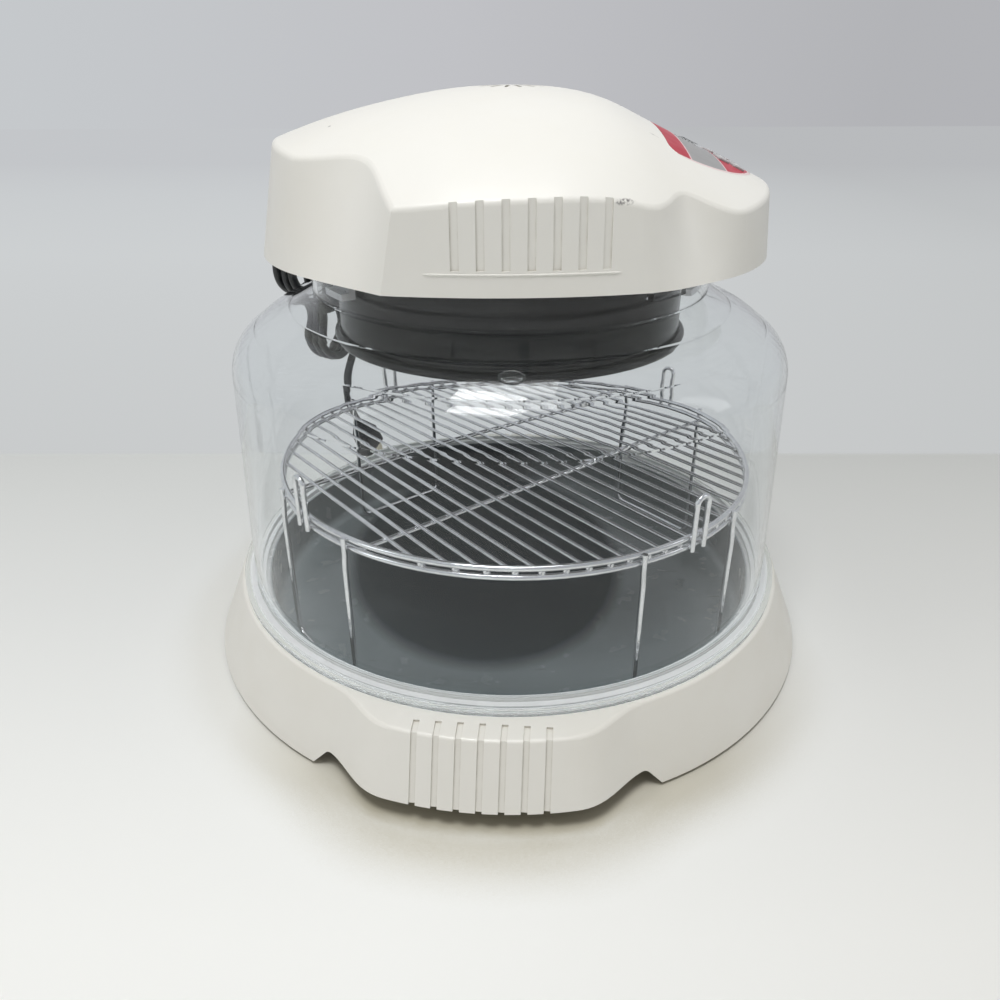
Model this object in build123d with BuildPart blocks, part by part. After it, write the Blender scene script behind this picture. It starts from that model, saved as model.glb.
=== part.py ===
from build123d import *
import os
from math import cos, degrees, hypot, pi, radians, sin, sqrt, tan

os.makedirs("parts", exist_ok=True)

# Countertop halogen oven. The origin is on the oven's axis, on the table.
# +X runs from the axis to the control panel, +Z is up, all sizes in mm.

# ---------------------------------------------------------------- pan
PAN_SHEET = 1.2
PAN_FLOOR = 12.0  # height of the pan's cooking floor
PAN_R = 159.2  # outer radius of the pan's wall
PAN_FLANGE_R = PAN_R + 9.8
PAN_CORNER = 6.0

# ---------------------------------------------------------------- base
BASE_TURN = -8.0  # the base stands turned by this much under the head
BASE_TOP_R = PAN_FLANGE_R + 6.5  # skirt radius at its top edge
BASE_R = BASE_TOP_R + 17.5  # skirt radius at its foot
BASE_TOP = 43.5  # height of the shelf that the pan hangs on
BASE_WALL = 3.0
BASE_ROUND = 2.4
SKIRT_GAP = 2.0  # the skirt ends this far above the table
LOBE_TOP_R = BASE_TOP_R + 14.0  # handle lobe radius at its top edge
LOBE_R = BASE_R + 16.0  # handle lobe radius at the skirt's foot
LOBE_HALF = 13.5  # half angle of a lobe's round front
LOBE_FOOT = 27.0  # half angle where a lobe runs out into the skirt
ARCH_TOP = 11.0  # the lobes' lower edge is this high, to take the fingers
ARCH_HALF = 83.0  # half width of the arch at its top
ARCH_FOOT = 93.0  # half width of the arch at the skirt's foot
ARCH_ROUND = 6.0
TUB_FLOOR = 5.0  # underside of the base's floor
TUB_GAP = 1.8  # between the base's tub and the pan's wall
GROOVE_COUNT = 7
GROOVE_PITCH = 11.0
GROOVE_WIDTH = 3.2
GROOVE_DEPTH = 1.2
GROOVE_START_R = BASE_TOP_R + 2.5  # where the grooves begin on a lobe's top
GROOVE_PAST = 12.0  # how far the grooves' cutter stands outside the lobe
RIB_COUNT = 16
RIB_THICK = 2.4
RIB_RAISE = 9.0  # the ribs end this far above the arches
FOOT_COUNT = 6
FOOT_RING_R = PAN_R - 9.2
FOOT_R = 11.0
FOOT_STEP = 1.0  # the pads are smaller than their bosses by this much
FOOT_FIT = 0.1
FOOT_HEIGHT = 2.6
FOOT_STEM_R = 2.6
FOOT_STEM = 4.0

# ---------------------------------------------------------------- dome
DOME_WALL = 2.8
DOME_FLANGE_R = PAN_FLANGE_R + 4.6
DOME_FLANGE = 3.0
DOME_LIP = 2.6  # the flange's rim reaches this far down past the pan's
DOME_FOOT_R = PAN_R + 7.6  # wall radius just above the flange
DOME_R = DOME_FOOT_R - 4.8  # wall radius at the shoulder
DOME_SHOULDER = 177.0  # height where the shoulder's round begins
SHOULDER_R = 27.0
SHOULDER_TURN = 62.0  # degrees of the shoulder's round
SLOPE_BULGE = 1.6
CONE_R = 127.0  # crease between the bulged slope and the cone
CONE_Z = 212.0
COLLAR_R = 112.2  # outer radius of the collar
COLLAR_FOOT = 221.0
COLLAR_TOP = 238.0
LUG_COUNT = 3
LUG_WIDTH = 14.0  # degrees
LUG_REACH = 4.2
LUG_Z = 228.0
LUG_THICK = 4.0
LOCK_TURN = 18.0  # degrees from open to locked
LOCK_START = 90.0  # angle of the first hook

# ---------------------------------------------------------------- head
HEAD_FOOT = 241.0  # height of the head's lower rim
BROW_LIFT = 39.0  # the outline is also given this far above the rim
LOFT_LIFT = 92.0
BROW_FILLET = 4.0
HEAD_WALL = 3.0
TRAY_THICK = 2.5
TRAY_GAP = 0.3
CROWN_AXIS = 106.4  # height of the axis that the crown is turned about
PANEL_SLOPE = 24.0  # degrees
PANEL_X = 106.0  # a point on the panel's middle line
PANEL_Z = 290.0
CROWN_TOP = 321.4
RIDGE_REAR = [(-165, 281), (-129, 295), (-90, 308), (-60, 315), (-34, 319.4)]
RIDGE = [*RIDGE_REAR, (0, CROWN_TOP), (27, 320), (52, 314)]
RIDGE_END = 70.0  # from here the ridge is straight and carries the panel
RIDGE_TIP = 168.0

# outline points of one side of the head, (x, y) at the rim and at the brow
REAR = ((-136.5, 0.0), (-128.5, 0.0))
REAR_END = ((-117.5, -66.5), (-110.5, -63.0))
REAR_SCALLOP = ((-93.0, -95.5), (-78.0, -88.5))
SIDE_REAR = ((-65.0, -123.0), (-57.5, -121.5))
SIDE = ((0.0, -131.0), (0.0, -126.8))
SIDE_FRONT = ((50.0, -126.0), (47.5, -120.5))
FRONT_SCALLOP = ((78.5, -112.0), (70.0, -99.5))
FRONT_END = ((107.5, -88.5), (104.0, -84.5))
FRONT = ((142.0, 0.0), (138.5, 0.0))

RIB_LEDGE = 11.0  # the side ribs end this far above the rim
RIB_PITCH = 10.9
RIB_WIDTH = 3.6
RIB_DEPTH = 1.0
VENT_COUNT = 16
VENT_IN = 8.0
VENT_OUT = 20.0
VENT_WIDTH = 1.8
BOSS_R = 4.5
BOSS_PLACES = [(-112, 40), (-112, -40), (0, 118), (0, -118), (112, 52), (112, -52)]
SCREW_R = 2.0
SCREW_HEAD_R = 3.6
SCREW_HEAD = 2.2
SCREW_LENGTH = 12.0
HOOK_GAP = 0.4
HOOK_THICK = 3.4
HOOK_WIDE = 20.0
INLET_COUNT = 18
INLET_R = 119.0
INLET_LONG = 9.0
INLET_WIDE = 3.0

# ---------------------------------------------------------------- heater
HOUSING_R = 99.0  # the black drum that hangs into the dome
HOUSING_SHEET = 1.2
HOUSING_FOOT = 192.0
HOUSING_FLANGE_R = 106.0
HOUSING_BEAD = 2.4
HOUSING_LIP_R = 94.5
REFLECTOR_SHEET = 1.0
REFLECTOR_Z = 226.0
SIDE_GAP = 0.4
SHAFT_R = 3.0
SHAFT_CLEAR = 1.5
ELEMENT_R = 70.0
ELEMENT_TUBE = 4.0
ELEMENT_Z = 212.0
ELEMENT_BEND = 9.0
ELEMENT_OPEN = 24.0  # degrees between the element's two ends
ELEMENT_FACE = 90.0  # angle of that opening
ELEMENT_TOP = 238.0
CLIP_COUNT = 3
CLIP_WIDTH = 8.0
CLIP_SHEET = 1.0
GUARD_SHEET = 1.2
GUARD_RINGS = [14.0, 26.0, 38.0, 50.0, 62.0, 74.0, 86.0]
GUARD_BAR = 2.2
GUARD_SPOKES = 6

# ---------------------------------------------------------------- fans
FAN_R = 56.0
FAN_DISC = 1.0
FAN_BLADES = 8
FAN_DEPTH = 8.0
FAN_TOP = 223.0
HUB_R = 8.0
COOLER_R = 45.0
COOLER_FOOT = 232.0
FAN_RAKE = 25.0
SHAFT_FIT = 0.05
COIL_WINDOW = 13.0
COIL_LEG = 9.5
COIL_BUILD = 10.5
MOTOR_SEAT = 249.5
BRACKET_SHEET = 1.5
BRACKET_SPAN = 62.0
BRACKET_WIDTH = 32.0
BRACKET_TOE = 12.0
STACK = 58.0
STACK_HEIGHT = 18.0
MOTOR_CAP_R = 20.0
MOTOR_CAP = 8.0

# ---------------------------------------------------------------- panel
PANEL_R = 67.5  # round lower edge of the control panel
PANEL_CENTRE = 63.5
PANEL_TOP_X = 72.0
PANEL_CORNER = 7.0
OVERLAY = 0.8
RECESS = 0.85
FIT = 0.15
GLUE = 0.02  # left under what is glued or stops just short of a seat
LCD_DROP = 1.6  # the display's glass is this far under the cover
SWITCH_SIDE = 6.0
SWITCH_BODY = 3.4
LCD_WIDE = 46.0
LCD_HIGH = 15.0
LCD_U = -12.5  # down-slope place of the display on the panel
KEY_ROWS = [3.5, 13.0]
KEY_COUNT = 4
KEY_STEP = 5.2  # degrees round the crown's axis
KEY_LONG = 12.0
KEY_HIGH = 7.0
KEY_PROUD = 1.0
KEY_FLANGE = 1.0
KEY_GAP = 0.3
KEY_TRAVEL = 0.5
PLUNGER_END = -7.6
BOARD_TOP = -12.4
BOARD_THICK = 1.6
BOARD_LONG = 84.0
BOARD_HIGH = 50.0
POST_R = 3.0
POST_U = 21.0
POST_V = 37.0

# ---------------------------------------------------------------- rack
RACK_X = 3.5  # the rack stands this far off the oven's axis
RACK_TURN = -54.5  # direction of the grate's wires
RACK_R = PAN_R - 13.5
RACK_WIRE = 3.2
GRATE_WIRE = 2.2
GRATE_COUNT = 25
GRATE_PITCH = 10.3
GRATE_Z = 111.0
BAR_WIRE = 3.0
BAR_OFFSET = 42.0
LEG_WIRE = 3.0
LEG_R = RACK_R + 3.6
LEG_HALF = 14.0  # degrees from a tall leg's middle to each upright
LEG_REACH = 4.0  # the uprights end this far above the grate
LEG_STRAIGHT = 6.0  # they lie on the rings down to this far under it
LEG_JOG = 14.0  # and are spread out to their full radius by here
HAIRPIN_ROOT = 4.0  # the hairpins begin this far under the grate
HAIRPIN_TOP = 139.0
HAIRPIN_HALF = 4.5
WELD = 0.15  # wires sink into each other by this much at a weld
RACK_GAP = 0.3  # between the legs and the pan's floor

# ---------------------------------------------------------------- cord
CORD_R = 3.1
GLAND_R = 9.0  # the strain relief's radius where its taper begins
GLAND_TIP_R = 4.9  # and at its mouth
GLAND_CORE_R = 5.0  # inside the head's wall
GLAND_CORE = (122.0, 140.0)  # where the core begins and ends
GLAND_FOOT = 125.0  # where the taper begins, inside the wall
GLAND_ANGLE = 140.0  # the cord leaves the head at its back
GLAND_END = 155.0  # distance of the gland's mouth from the axis
GLAND_Z = 259.7
# route from the gland's mouth to the top of the put-away hank
LEAD_BENDS = [(-130.2, 109.2, 259.7), (-140.2, 117.6, 252.2), (-145.9, 122.4, 239.2)]
LEAD_END = (-146.4, 122.9, 226.2)
# route from the hank's lower end to the plug
TAIL_START = (-115.7, 139.4, 133.8)
TAIL_BENDS = [(-119.1, 144.0, 119.0), (-121.5, 146.5, 102.5), (-119.5, 149.5, 86.5)]
PLUG_END = (-115.3, 153.0, 72.0)
HANK_CENTRE = (-133.0, 128.0, 182.0)
HANK_ANGLE = 150.0
HANK_TILT = 30.0
HANK_LONG = 104.0
HANK_LOOP = 44.0  # width of the loops at its two ends
HANK_WAIST = 16.0  # width where the tie holds it
HANK_THICK = 26.0
HANK_ROUND = 6.0
TIE_WIDE = 12.0
TIE_SHEET = 1.2
PLUG_LONG = 28.0
PLUG_NECK = 0.45  # share of the plug's length that widens from the cord
PLUG_WIDE = 24.0
PLUG_THICK = 16.0
PLUG_ROUND = 5.6
PRONG_LONG = 16.0
PRONG_WIDE = 6.4
PRONG_THICK = 1.6
PRONG_PITCH = 12.7


def polar(radius, angle):
    """Point at a radius and an angle in degrees."""
    return (radius * cos(radians(angle)), radius * sin(radians(angle)))


def around(angle):
    """Direction of travel round the axis at an angle."""
    return (-sin(radians(angle)), cos(radians(angle)))


BASE_FRAME = Location((0, 0, 0), (0, 0, BASE_TURN))


def base_level(height):
    """Horizontal plane of the turned base."""
    return Plane(BASE_FRAME * Location((0, 0, height)))


def base_outline(ring, lobe):
    """Circle with two handle lobes, for use in a BuildLine."""
    for side in (-90, 90):
        front, foot = side - LOBE_HALF, side - LOBE_FOOT
        Spline(polar(ring, foot), polar(lobe, front), tangents=(around(foot), around(front)))
        ThreePointArc(polar(lobe, front), polar(lobe, side), polar(lobe, side + LOBE_HALF))
        front, foot = side + LOBE_HALF, side + LOBE_FOOT
        Spline(polar(lobe, front), polar(ring, foot), tangents=(around(front), around(foot)))
        ThreePointArc(polar(ring, foot), polar(ring, side + 90), polar(ring, side + 180 - LOBE_FOOT))


# ================================================================ base
TUB_R = PAN_R + TUB_GAP
TUB_OUT = TUB_R + BASE_WALL
SHELF = BASE_TOP - BASE_WALL

# the space inside the skirt, under the shelf
with BuildPart() as base_space:
    with BuildSketch(base_level(SKIRT_GAP - 1)):
        with BuildLine():
            base_outline(BASE_R - BASE_WALL, LOBE_R - BASE_WALL)
        make_face()
    with BuildSketch(base_level(SHELF)):
        with BuildLine():
            base_outline(BASE_TOP_R - BASE_WALL, LOBE_TOP_R - BASE_WALL)
        make_face()
    loft(ruled=True)

# upright ribs between the tub and the skirt
with BuildPart() as base_ribs:
    add(base_space.part)
    with BuildSketch(base_level(ARCH_TOP + RIB_RAISE)):
        with PolarLocations((TUB_R + BASE_R) / 2, RIB_COUNT, start_angle=180 / RIB_COUNT):
            Rectangle(BASE_R - TUB_R, RIB_THICK)
    extrude(amount=BASE_TOP, mode=Mode.INTERSECT)

with BuildPart() as base_ring:
    with BuildSketch(base_level(SKIRT_GAP)):
        with BuildLine():
            base_outline(BASE_R, LOBE_R)
        make_face()
    with BuildSketch(base_level(BASE_TOP)):
        with BuildLine():
            base_outline(BASE_TOP_R, LOBE_TOP_R)
        make_face()
    loft(ruled=True)
    fillet(base_ring.faces().sort_by(Axis.Z)[-1].edges(), BASE_ROUND)
    add(base_space.part, mode=Mode.SUBTRACT)
    # arches under the two lobes, where the fingers go in
    for turn in (0, 180):
        with BuildSketch(Plane(BASE_FRAME * Location((0, 0, 0), (90, 0, turn)))) as arch:
            with BuildLine():
                Polyline(
                    (-ARCH_FOOT, SKIRT_GAP - 1),
                    (-ARCH_HALF, ARCH_TOP),
                    (ARCH_HALF, ARCH_TOP),
                    (ARCH_FOOT, SKIRT_GAP - 1),
                    close=True,
                )
            make_face()
            fillet(arch.vertices().group_by(Axis.Y)[-1], ARCH_ROUND)
        extrude(amount=LOBE_R + GROOVE_PAST, mode=Mode.SUBTRACT)
    # grip grooves over the top and down the front of each lobe
    lobe_slope = (LOBE_R - LOBE_TOP_R) / (BASE_TOP - SKIRT_GAP)
    for turn in (0, 180):
        for place in range(GROOVE_COUNT):
            across = (place - (GROOVE_COUNT - 1) / 2) * GROOVE_PITCH
            top_out = sqrt(LOBE_TOP_R**2 - across**2) - GROOVE_DEPTH
            foot_out = top_out + lobe_slope * BASE_TOP
            groove_plane = Plane(BASE_FRAME * Location((0, 0, 0), (0, 0, turn - 90))
                                 * Location((0, across, 0), (90, 0, 0)))
            with BuildSketch(groove_plane):
                with BuildLine():
                    Polyline(
                        (GROOVE_START_R, BASE_TOP - GROOVE_DEPTH),
                        (top_out, BASE_TOP - GROOVE_DEPTH),
                        (foot_out, 0),
                        (foot_out + GROOVE_PAST, 0),
                        (top_out + GROOVE_PAST, BASE_TOP + BASE_WALL),
                        (GROOVE_START_R, BASE_TOP + BASE_WALL),
                        close=True,
                    )
                make_face()
            extrude(amount=GROOVE_WIDTH / 2, both=True, mode=Mode.SUBTRACT)
    # the tub that the pan hangs in
    with BuildSketch(base_level(SHELF)):
        Circle(TUB_OUT)
    extrude(amount=TUB_FLOOR - SHELF)
    add(base_ribs.part)
    with BuildSketch(base_level(TUB_FLOOR + BASE_WALL)):
        Circle(TUB_R)
    extrude(amount=BASE_TOP, mode=Mode.SUBTRACT)
    # bosses for the feet
    with BuildSketch(base_level(FOOT_HEIGHT)):
        with PolarLocations(FOOT_RING_R, FOOT_COUNT):
            Circle(FOOT_R)
    extrude(amount=TUB_FLOOR - FOOT_HEIGHT + 1)
    with BuildSketch(base_level(FOOT_HEIGHT)):
        with PolarLocations(FOOT_RING_R, FOOT_COUNT):
            Circle(FOOT_STEM_R)
    extrude(amount=FOOT_STEM, mode=Mode.SUBTRACT)
base_ring.part.label = "base_ring"
export_step(base_ring.part, "parts/base_ring.step")

with BuildPart() as base_feet:
    with BuildSketch(base_level(0)):
        with PolarLocations(FOOT_RING_R, FOOT_COUNT):
            Circle(FOOT_R - FOOT_STEP)
    extrude(amount=FOOT_HEIGHT)
    with BuildSketch(base_level(FOOT_HEIGHT)):
        with PolarLocations(FOOT_RING_R, FOOT_COUNT):
            Circle(FOOT_STEM_R - FOOT_FIT)
    extrude(amount=FOOT_STEM - 3 * FOOT_FIT)
base_feet.part.label = "base_feet"
export_step(base_feet.part, "parts/base_feet.step")

# ================================================================ pan
PAN_TOP = BASE_TOP + PAN_SHEET

with BuildPart() as liner_pan:
    with BuildSketch(Plane.XZ) as pan_section:
        with BuildLine():
            Polyline(
                (0, PAN_FLOOR),
                (PAN_R - PAN_SHEET, PAN_FLOOR),
                (PAN_R - PAN_SHEET, PAN_TOP),
                (PAN_FLANGE_R, PAN_TOP),
                (PAN_FLANGE_R, BASE_TOP),
                (PAN_R, BASE_TOP),
                (PAN_R, PAN_FLOOR - PAN_SHEET),
                (0, PAN_FLOOR - PAN_SHEET),
                close=True,
            )
        make_face()
        corners = pan_section.vertices().filter_by(lambda v: v.X > PAN_R / 2 and v.Y < PAN_FLOOR + 1)
        fillet(corners.sort_by(Axis.Y)[-1], PAN_CORNER)
        corners = pan_section.vertices().filter_by(lambda v: v.X > PAN_R - 1 and v.Y < PAN_FLOOR - 1)
        fillet(corners.sort_by(Axis.Y)[0], PAN_CORNER + PAN_SHEET)
    revolve(axis=Axis.Z)
liner_pan.part.label = "liner_pan"
export_step(liner_pan.part, "parts/liner_pan.step")

# ================================================================ dome
DOME_FOOT = PAN_TOP + DOME_FLANGE
shoulder_x = DOME_R - SHOULDER_R + SHOULDER_R * cos(radians(SHOULDER_TURN))
shoulder_z = DOME_SHOULDER + SHOULDER_R * sin(radians(SHOULDER_TURN))

with BuildPart() as dome_shell:
    with BuildSketch(Plane.XZ):
        with BuildLine():
            foot = Line((DOME_FOOT_R, DOME_FOOT), (DOME_R, DOME_SHOULDER))
            shoulder = CenterArc((DOME_R - SHOULDER_R, DOME_SHOULDER), SHOULDER_R, 0, SHOULDER_TURN)
            slope = ThreePointArc(
                shoulder @ 1,
                ((shoulder_x + CONE_R) / 2, (shoulder_z + CONE_Z) / 2 + SLOPE_BULGE),
                (CONE_R, CONE_Z),
            )
            cone = Line(slope @ 1, (COLLAR_R + 1.0, COLLAR_FOOT))
            collar = Line(cone @ 1, (COLLAR_R, COLLAR_TOP))
            offset(amount=DOME_WALL, side=Side.LEFT)
        make_face()
    revolve(axis=Axis.Z)
    # flange that rests on the pan, with a rim turned down past it
    with BuildSketch(Plane.XZ):
        with BuildLine():
            Polyline(
                (DOME_FOOT_R - DOME_WALL - 3, PAN_TOP),
                (PAN_FLANGE_R + 1, PAN_TOP),
                (PAN_FLANGE_R + 1, PAN_TOP + DOME_FLANGE - DOME_LIP - 1),
                (DOME_FLANGE_R, PAN_TOP + DOME_FLANGE - DOME_LIP - 1),
                (DOME_FLANGE_R, DOME_FOOT),
                (DOME_FOOT_R - DOME_WALL - 3, DOME_FOOT),
                close=True,
            )
        make_face()
    revolve(axis=Axis.Z)
    # locking lugs inside the collar
    with BuildSketch(Plane.XY.offset(LUG_Z)):
        Circle(COLLAR_R - DOME_WALL / 2)
        Circle(COLLAR_R - DOME_WALL - LUG_REACH, mode=Mode.SUBTRACT)
        with BuildSketch(mode=Mode.PRIVATE) as lug_wedges:
            for lug in range(LUG_COUNT):
                middle = LOCK_START + lug * 360 / LUG_COUNT - LOCK_TURN
                with BuildLine():
                    Polyline(
                        (0, 0),
                        polar(2 * COLLAR_R, middle - LUG_WIDTH / 2),
                        polar(2 * COLLAR_R, middle + LUG_WIDTH / 2),
                        close=True,
                    )
                make_face()
        add(lug_wedges.sketch, mode=Mode.INTERSECT)
    extrude(amount=LUG_THICK)
dome_shell.part.label = "dome_shell"
export_step(dome_shell.part, "parts/dome_shell.step")

# ================================================================ head
TRAY_TOP = HEAD_FOOT + TRAY_THICK


def head_outline(lift, inset):
    """Closed outline of the head at a lift above its rim, drawn in by an inset."""

    def place(pair, side=1):
        (foot_x, foot_y), (brow_x, brow_y) = pair
        x = foot_x + (brow_x - foot_x) * lift / BROW_LIFT
        y = foot_y + (brow_y - foot_y) * lift / BROW_LIFT
        shrink = 1 - inset / hypot(x, y)
        return (x * shrink, y * shrink * side)

    rear = ThreePointArc(place(REAR_END, -1), place(REAR), place(REAR_END))
    near = ThreePointArc(place(SIDE_REAR), place(SIDE), place(SIDE_FRONT))
    front = ThreePointArc(place(FRONT_END), place(FRONT), place(FRONT_END, -1))
    far = ThreePointArc(place(SIDE_FRONT, -1), place(SIDE, -1), place(SIDE_REAR, -1))
    near_in = Vector(place(SIDE_REAR)) - Vector(place(REAR_SCALLOP))
    far_out = Vector(place(REAR_SCALLOP, -1)) - Vector(place(SIDE_REAR, -1))
    Spline(rear @ 1, place(REAR_SCALLOP), near @ 0, tangents=(rear % 1, near_in))
    Spline(near @ 1, place(FRONT_SCALLOP), front @ 0, tangents=(near % 1, front % 0))
    Spline(front @ 1, place(FRONT_SCALLOP, -1), far @ 0, tangents=(front % 1, far % 0))
    Spline(far @ 1, place(REAR_SCALLOP, -1), rear @ 0, tangents=(far_out, rear % 0))


def crown_solid(drop):
    """Solid of revolution whose upper side is the crown's surface, lowered by a drop."""
    slope = tan(radians(PANEL_SLOPE))
    # the section is drawn below the axis, so that no seam runs over the crown
    section = Plane(origin=(0, 0, CROWN_AXIS), x_dir=(1, 0, 0), z_dir=(0, 1, 0))
    ridge_end = PANEL_Z + (PANEL_X - RIDGE_END) * slope
    ridge_tip = PANEL_Z + (PANEL_X - RIDGE_TIP) * slope
    ridge_points = [(x, z - CROWN_AXIS - drop) for x, z in [*RIDGE, (RIDGE_END, ridge_end)]]
    with BuildPart() as crown:
        with BuildSketch(section):
            with BuildLine():
                ridge = Spline(*ridge_points, tangents=((1, 0.36), (1, -slope)))
                tip = Line(ridge @ 1, (RIDGE_TIP, ridge_tip - CROWN_AXIS - drop))
                Polyline(tip @ 1, (RIDGE_TIP, 0), (RIDGE[0][0], 0), ridge @ 0)
            make_face()
        revolve(axis=Axis((0, 0, CROWN_AXIS), (1, 0, 0)))
    return crown.part


def panel_place(u, v_angle, depth):
    """Frame on the panel: u down the slope, an angle round the crown's axis, a depth below."""
    slope = radians(PANEL_SLOPE)
    x, z = PANEL_X + u * cos(slope), PANEL_Z - u * sin(slope)
    swing = Location((0, 0, CROWN_AXIS)) * Location((0, 0, 0), (v_angle, 0, 0))
    return swing * Location((x, 0, z - CROWN_AXIS), (0, PANEL_SLOPE, 0)) * Location((0, 0, -depth))


def panel_outline(inset):
    """Plan of the control panel: a round lower edge, a straight top, for use in a BuildSketch."""
    with Locations((PANEL_CENTRE, 0)):
        Circle(PANEL_R - inset)
    with Locations((PANEL_TOP_X + inset, 0)):
        Rectangle(2 * PANEL_R, 2 * PANEL_R, align=(Align.MIN, Align.CENTER), mode=Mode.INTERSECT)


def lcd_outline(inset):
    """Plan of the display window, for use in a BuildSketch on the panel's own plane."""
    with Locations((LCD_U, 0)):
        RectangleRounded(LCD_HIGH - 2 * inset, LCD_WIDE - 2 * inset, 1.5)


PANEL_PLANE = Plane(panel_place(0, 0, 0))
GLAND_WAY = Vector(*polar(1, GLAND_ANGLE))
GLAND_PLANE = Plane(origin=(0, 0, GLAND_Z), z_dir=GLAND_WAY)
KEY_PLACES = [
    (row, (column - (KEY_COUNT - 1) / 2) * KEY_STEP) for row in KEY_ROWS for column in range(KEY_COUNT)
]

# the space inside the head, round the screw bosses and the board's posts
with BuildPart() as head_space:
    for lift in (-1, LOFT_LIFT):
        with BuildSketch(Plane.XY.offset(HEAD_FOOT + lift)):
            with BuildLine():
                head_outline(lift, HEAD_WALL)
            make_face()
    loft(ruled=True)
    add(crown_solid(HEAD_WALL), mode=Mode.INTERSECT)
    with BuildSketch(Plane.XY.offset(TRAY_TOP)):
        with Locations(*BOSS_PLACES):
            Circle(BOSS_R)
    extrude(amount=LOFT_LIFT, mode=Mode.SUBTRACT)
    with BuildSketch(Plane(panel_place(0, 0, -BOARD_TOP))):
        with Locations((POST_U, POST_V), (POST_U, -POST_V), (-POST_U, POST_V), (-POST_U, -POST_V)):
            Circle(POST_R)
    extrude(amount=-BOARD_TOP * 2, mode=Mode.SUBTRACT)

# the recess that the panel's overlay lies in
with BuildPart() as panel_recess:
    with BuildSketch(Plane.XY.offset(HEAD_FOOT)) as recess_plan:
        panel_outline(0)
        fillet(recess_plan.vertices(), PANEL_CORNER)
    extrude(amount=LOFT_LIFT)
    add(crown_solid(RECESS), mode=Mode.SUBTRACT)

# the head's walls, drawn in by the grooves' depth
with BuildPart() as head_inside:
    for lift in (0, LOFT_LIFT):
        with BuildSketch(Plane.XY.offset(HEAD_FOOT + lift)):
            with BuildLine():
                head_outline(lift, RIB_DEPTH)
            make_face()
    loft(ruled=True)

# grooves down the two sides, ending at a ledge above the rim
with BuildPart() as side_grooves:
    with BuildSketch(Plane.XY.offset(HEAD_FOOT + RIB_LEDGE)):
        with GridLocations(RIB_PITCH, -2 * SIDE[0][1], GROOVE_COUNT, 2):
            Rectangle(RIB_WIDTH, -SIDE[0][1] / 4)
    extrude(amount=BROW_LIFT)
    add(head_inside.part, mode=Mode.SUBTRACT)

# the head's outer form
with BuildPart() as head_block:
    for lift in (0, LOFT_LIFT):
        with BuildSketch(Plane.XY.offset(HEAD_FOOT + lift)):
            with BuildLine():
                head_outline(lift, 0)
            make_face()
    loft(ruled=True)
    add(crown_solid(0), mode=Mode.INTERSECT)
    brow = head_block.edges().filter_by(lambda e: e.center().Z > HEAD_FOOT + 20 and abs((e % 0.5).Z) < 0.55)
    fillet(brow, BROW_FILLET)

with BuildPart() as head_cover:
    add(head_block.part)
    add(head_space.part, mode=Mode.SUBTRACT)
    add(panel_recess.part, mode=Mode.SUBTRACT)
    add(side_grooves.part, mode=Mode.SUBTRACT)
    # sunburst of air slots on the crown
    with BuildSketch(Plane.XY.offset(CROWN_TOP - 4 * HEAD_WALL)):
        with PolarLocations((VENT_IN + VENT_OUT) / 2, VENT_COUNT, start_angle=180 / VENT_COUNT):
            Rectangle(VENT_OUT - VENT_IN, VENT_WIDTH)
    extrude(amount=8 * HEAD_WALL, mode=Mode.SUBTRACT)
    # window for the display and holes for the keys
    with BuildSketch(PANEL_PLANE):
        lcd_outline(1.5)
    extrude(amount=2 * BOARD_TOP, mode=Mode.SUBTRACT)
    for row, angle in KEY_PLACES:
        with BuildSketch(Plane(panel_place(row, angle, -KEY_PROUD))):
            RectangleRounded(KEY_HIGH + 2 * KEY_GAP, KEY_LONG + 2 * KEY_GAP, 1.5)
        extrude(amount=-KEY_PROUD - HEAD_WALL - KEY_FLANGE, mode=Mode.SUBTRACT)
    # screw holes up into the bosses
    with BuildSketch(Plane.XY.offset(TRAY_TOP)):
        with Locations(*BOSS_PLACES):
            Circle(SCREW_R + 0.1)
    extrude(amount=SCREW_LENGTH, mode=Mode.SUBTRACT)
    # hole for the cord's gland
    with BuildSketch(GLAND_PLANE):
        Circle(GLAND_CORE_R + FIT)
    extrude(amount=GLAND_END, mode=Mode.SUBTRACT)
head_cover.part.label = "head_cover"
export_step(head_cover.part, "parts/head_cover.step")

# ---------------------------------------------------------------- underside tray
with BuildPart() as underside_tray:
    for lift in (0, TRAY_THICK):
        with BuildSketch(Plane.XY.offset(HEAD_FOOT + lift)):
            with BuildLine():
                head_outline(lift, HEAD_WALL + TRAY_GAP)
            make_face()
    loft(ruled=True)
    with BuildSketch(Plane.XY.offset(HEAD_FOOT)):
        Circle(HOUSING_R + SIDE_GAP)
        with PolarLocations(0, INLET_COUNT, start_angle=180 / INLET_COUNT):
            with Locations((INLET_R, 0)):
                SlotOverall(INLET_LONG, INLET_WIDE)
        with Locations(*BOSS_PLACES):
            Circle(SCREW_R + 0.3)
    extrude(amount=TRAY_THICK, mode=Mode.SUBTRACT)
underside_tray.part.label = "underside_tray"
export_step(underside_tray.part, "parts/underside_tray.step")

with BuildPart() as tray_screws:
    with BuildSketch(Plane.XY.offset(HEAD_FOOT - SCREW_HEAD)):
        with Locations(*BOSS_PLACES):
            Circle(SCREW_HEAD_R)
            RegularPolygon(SCREW_R * 0.8, 6, mode=Mode.SUBTRACT)
    extrude(amount=SCREW_HEAD)
    with BuildSketch(Plane.XY.offset(HEAD_FOOT - SCREW_HEAD / 2)):
        with Locations(*BOSS_PLACES):
            Circle(SCREW_R)
    extrude(amount=SCREW_HEAD / 2 + TRAY_THICK + SCREW_LENGTH - 1)
tray_screws.part.label = "tray_screws"
export_step(tray_screws.part, "parts/tray_screws.step")

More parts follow.
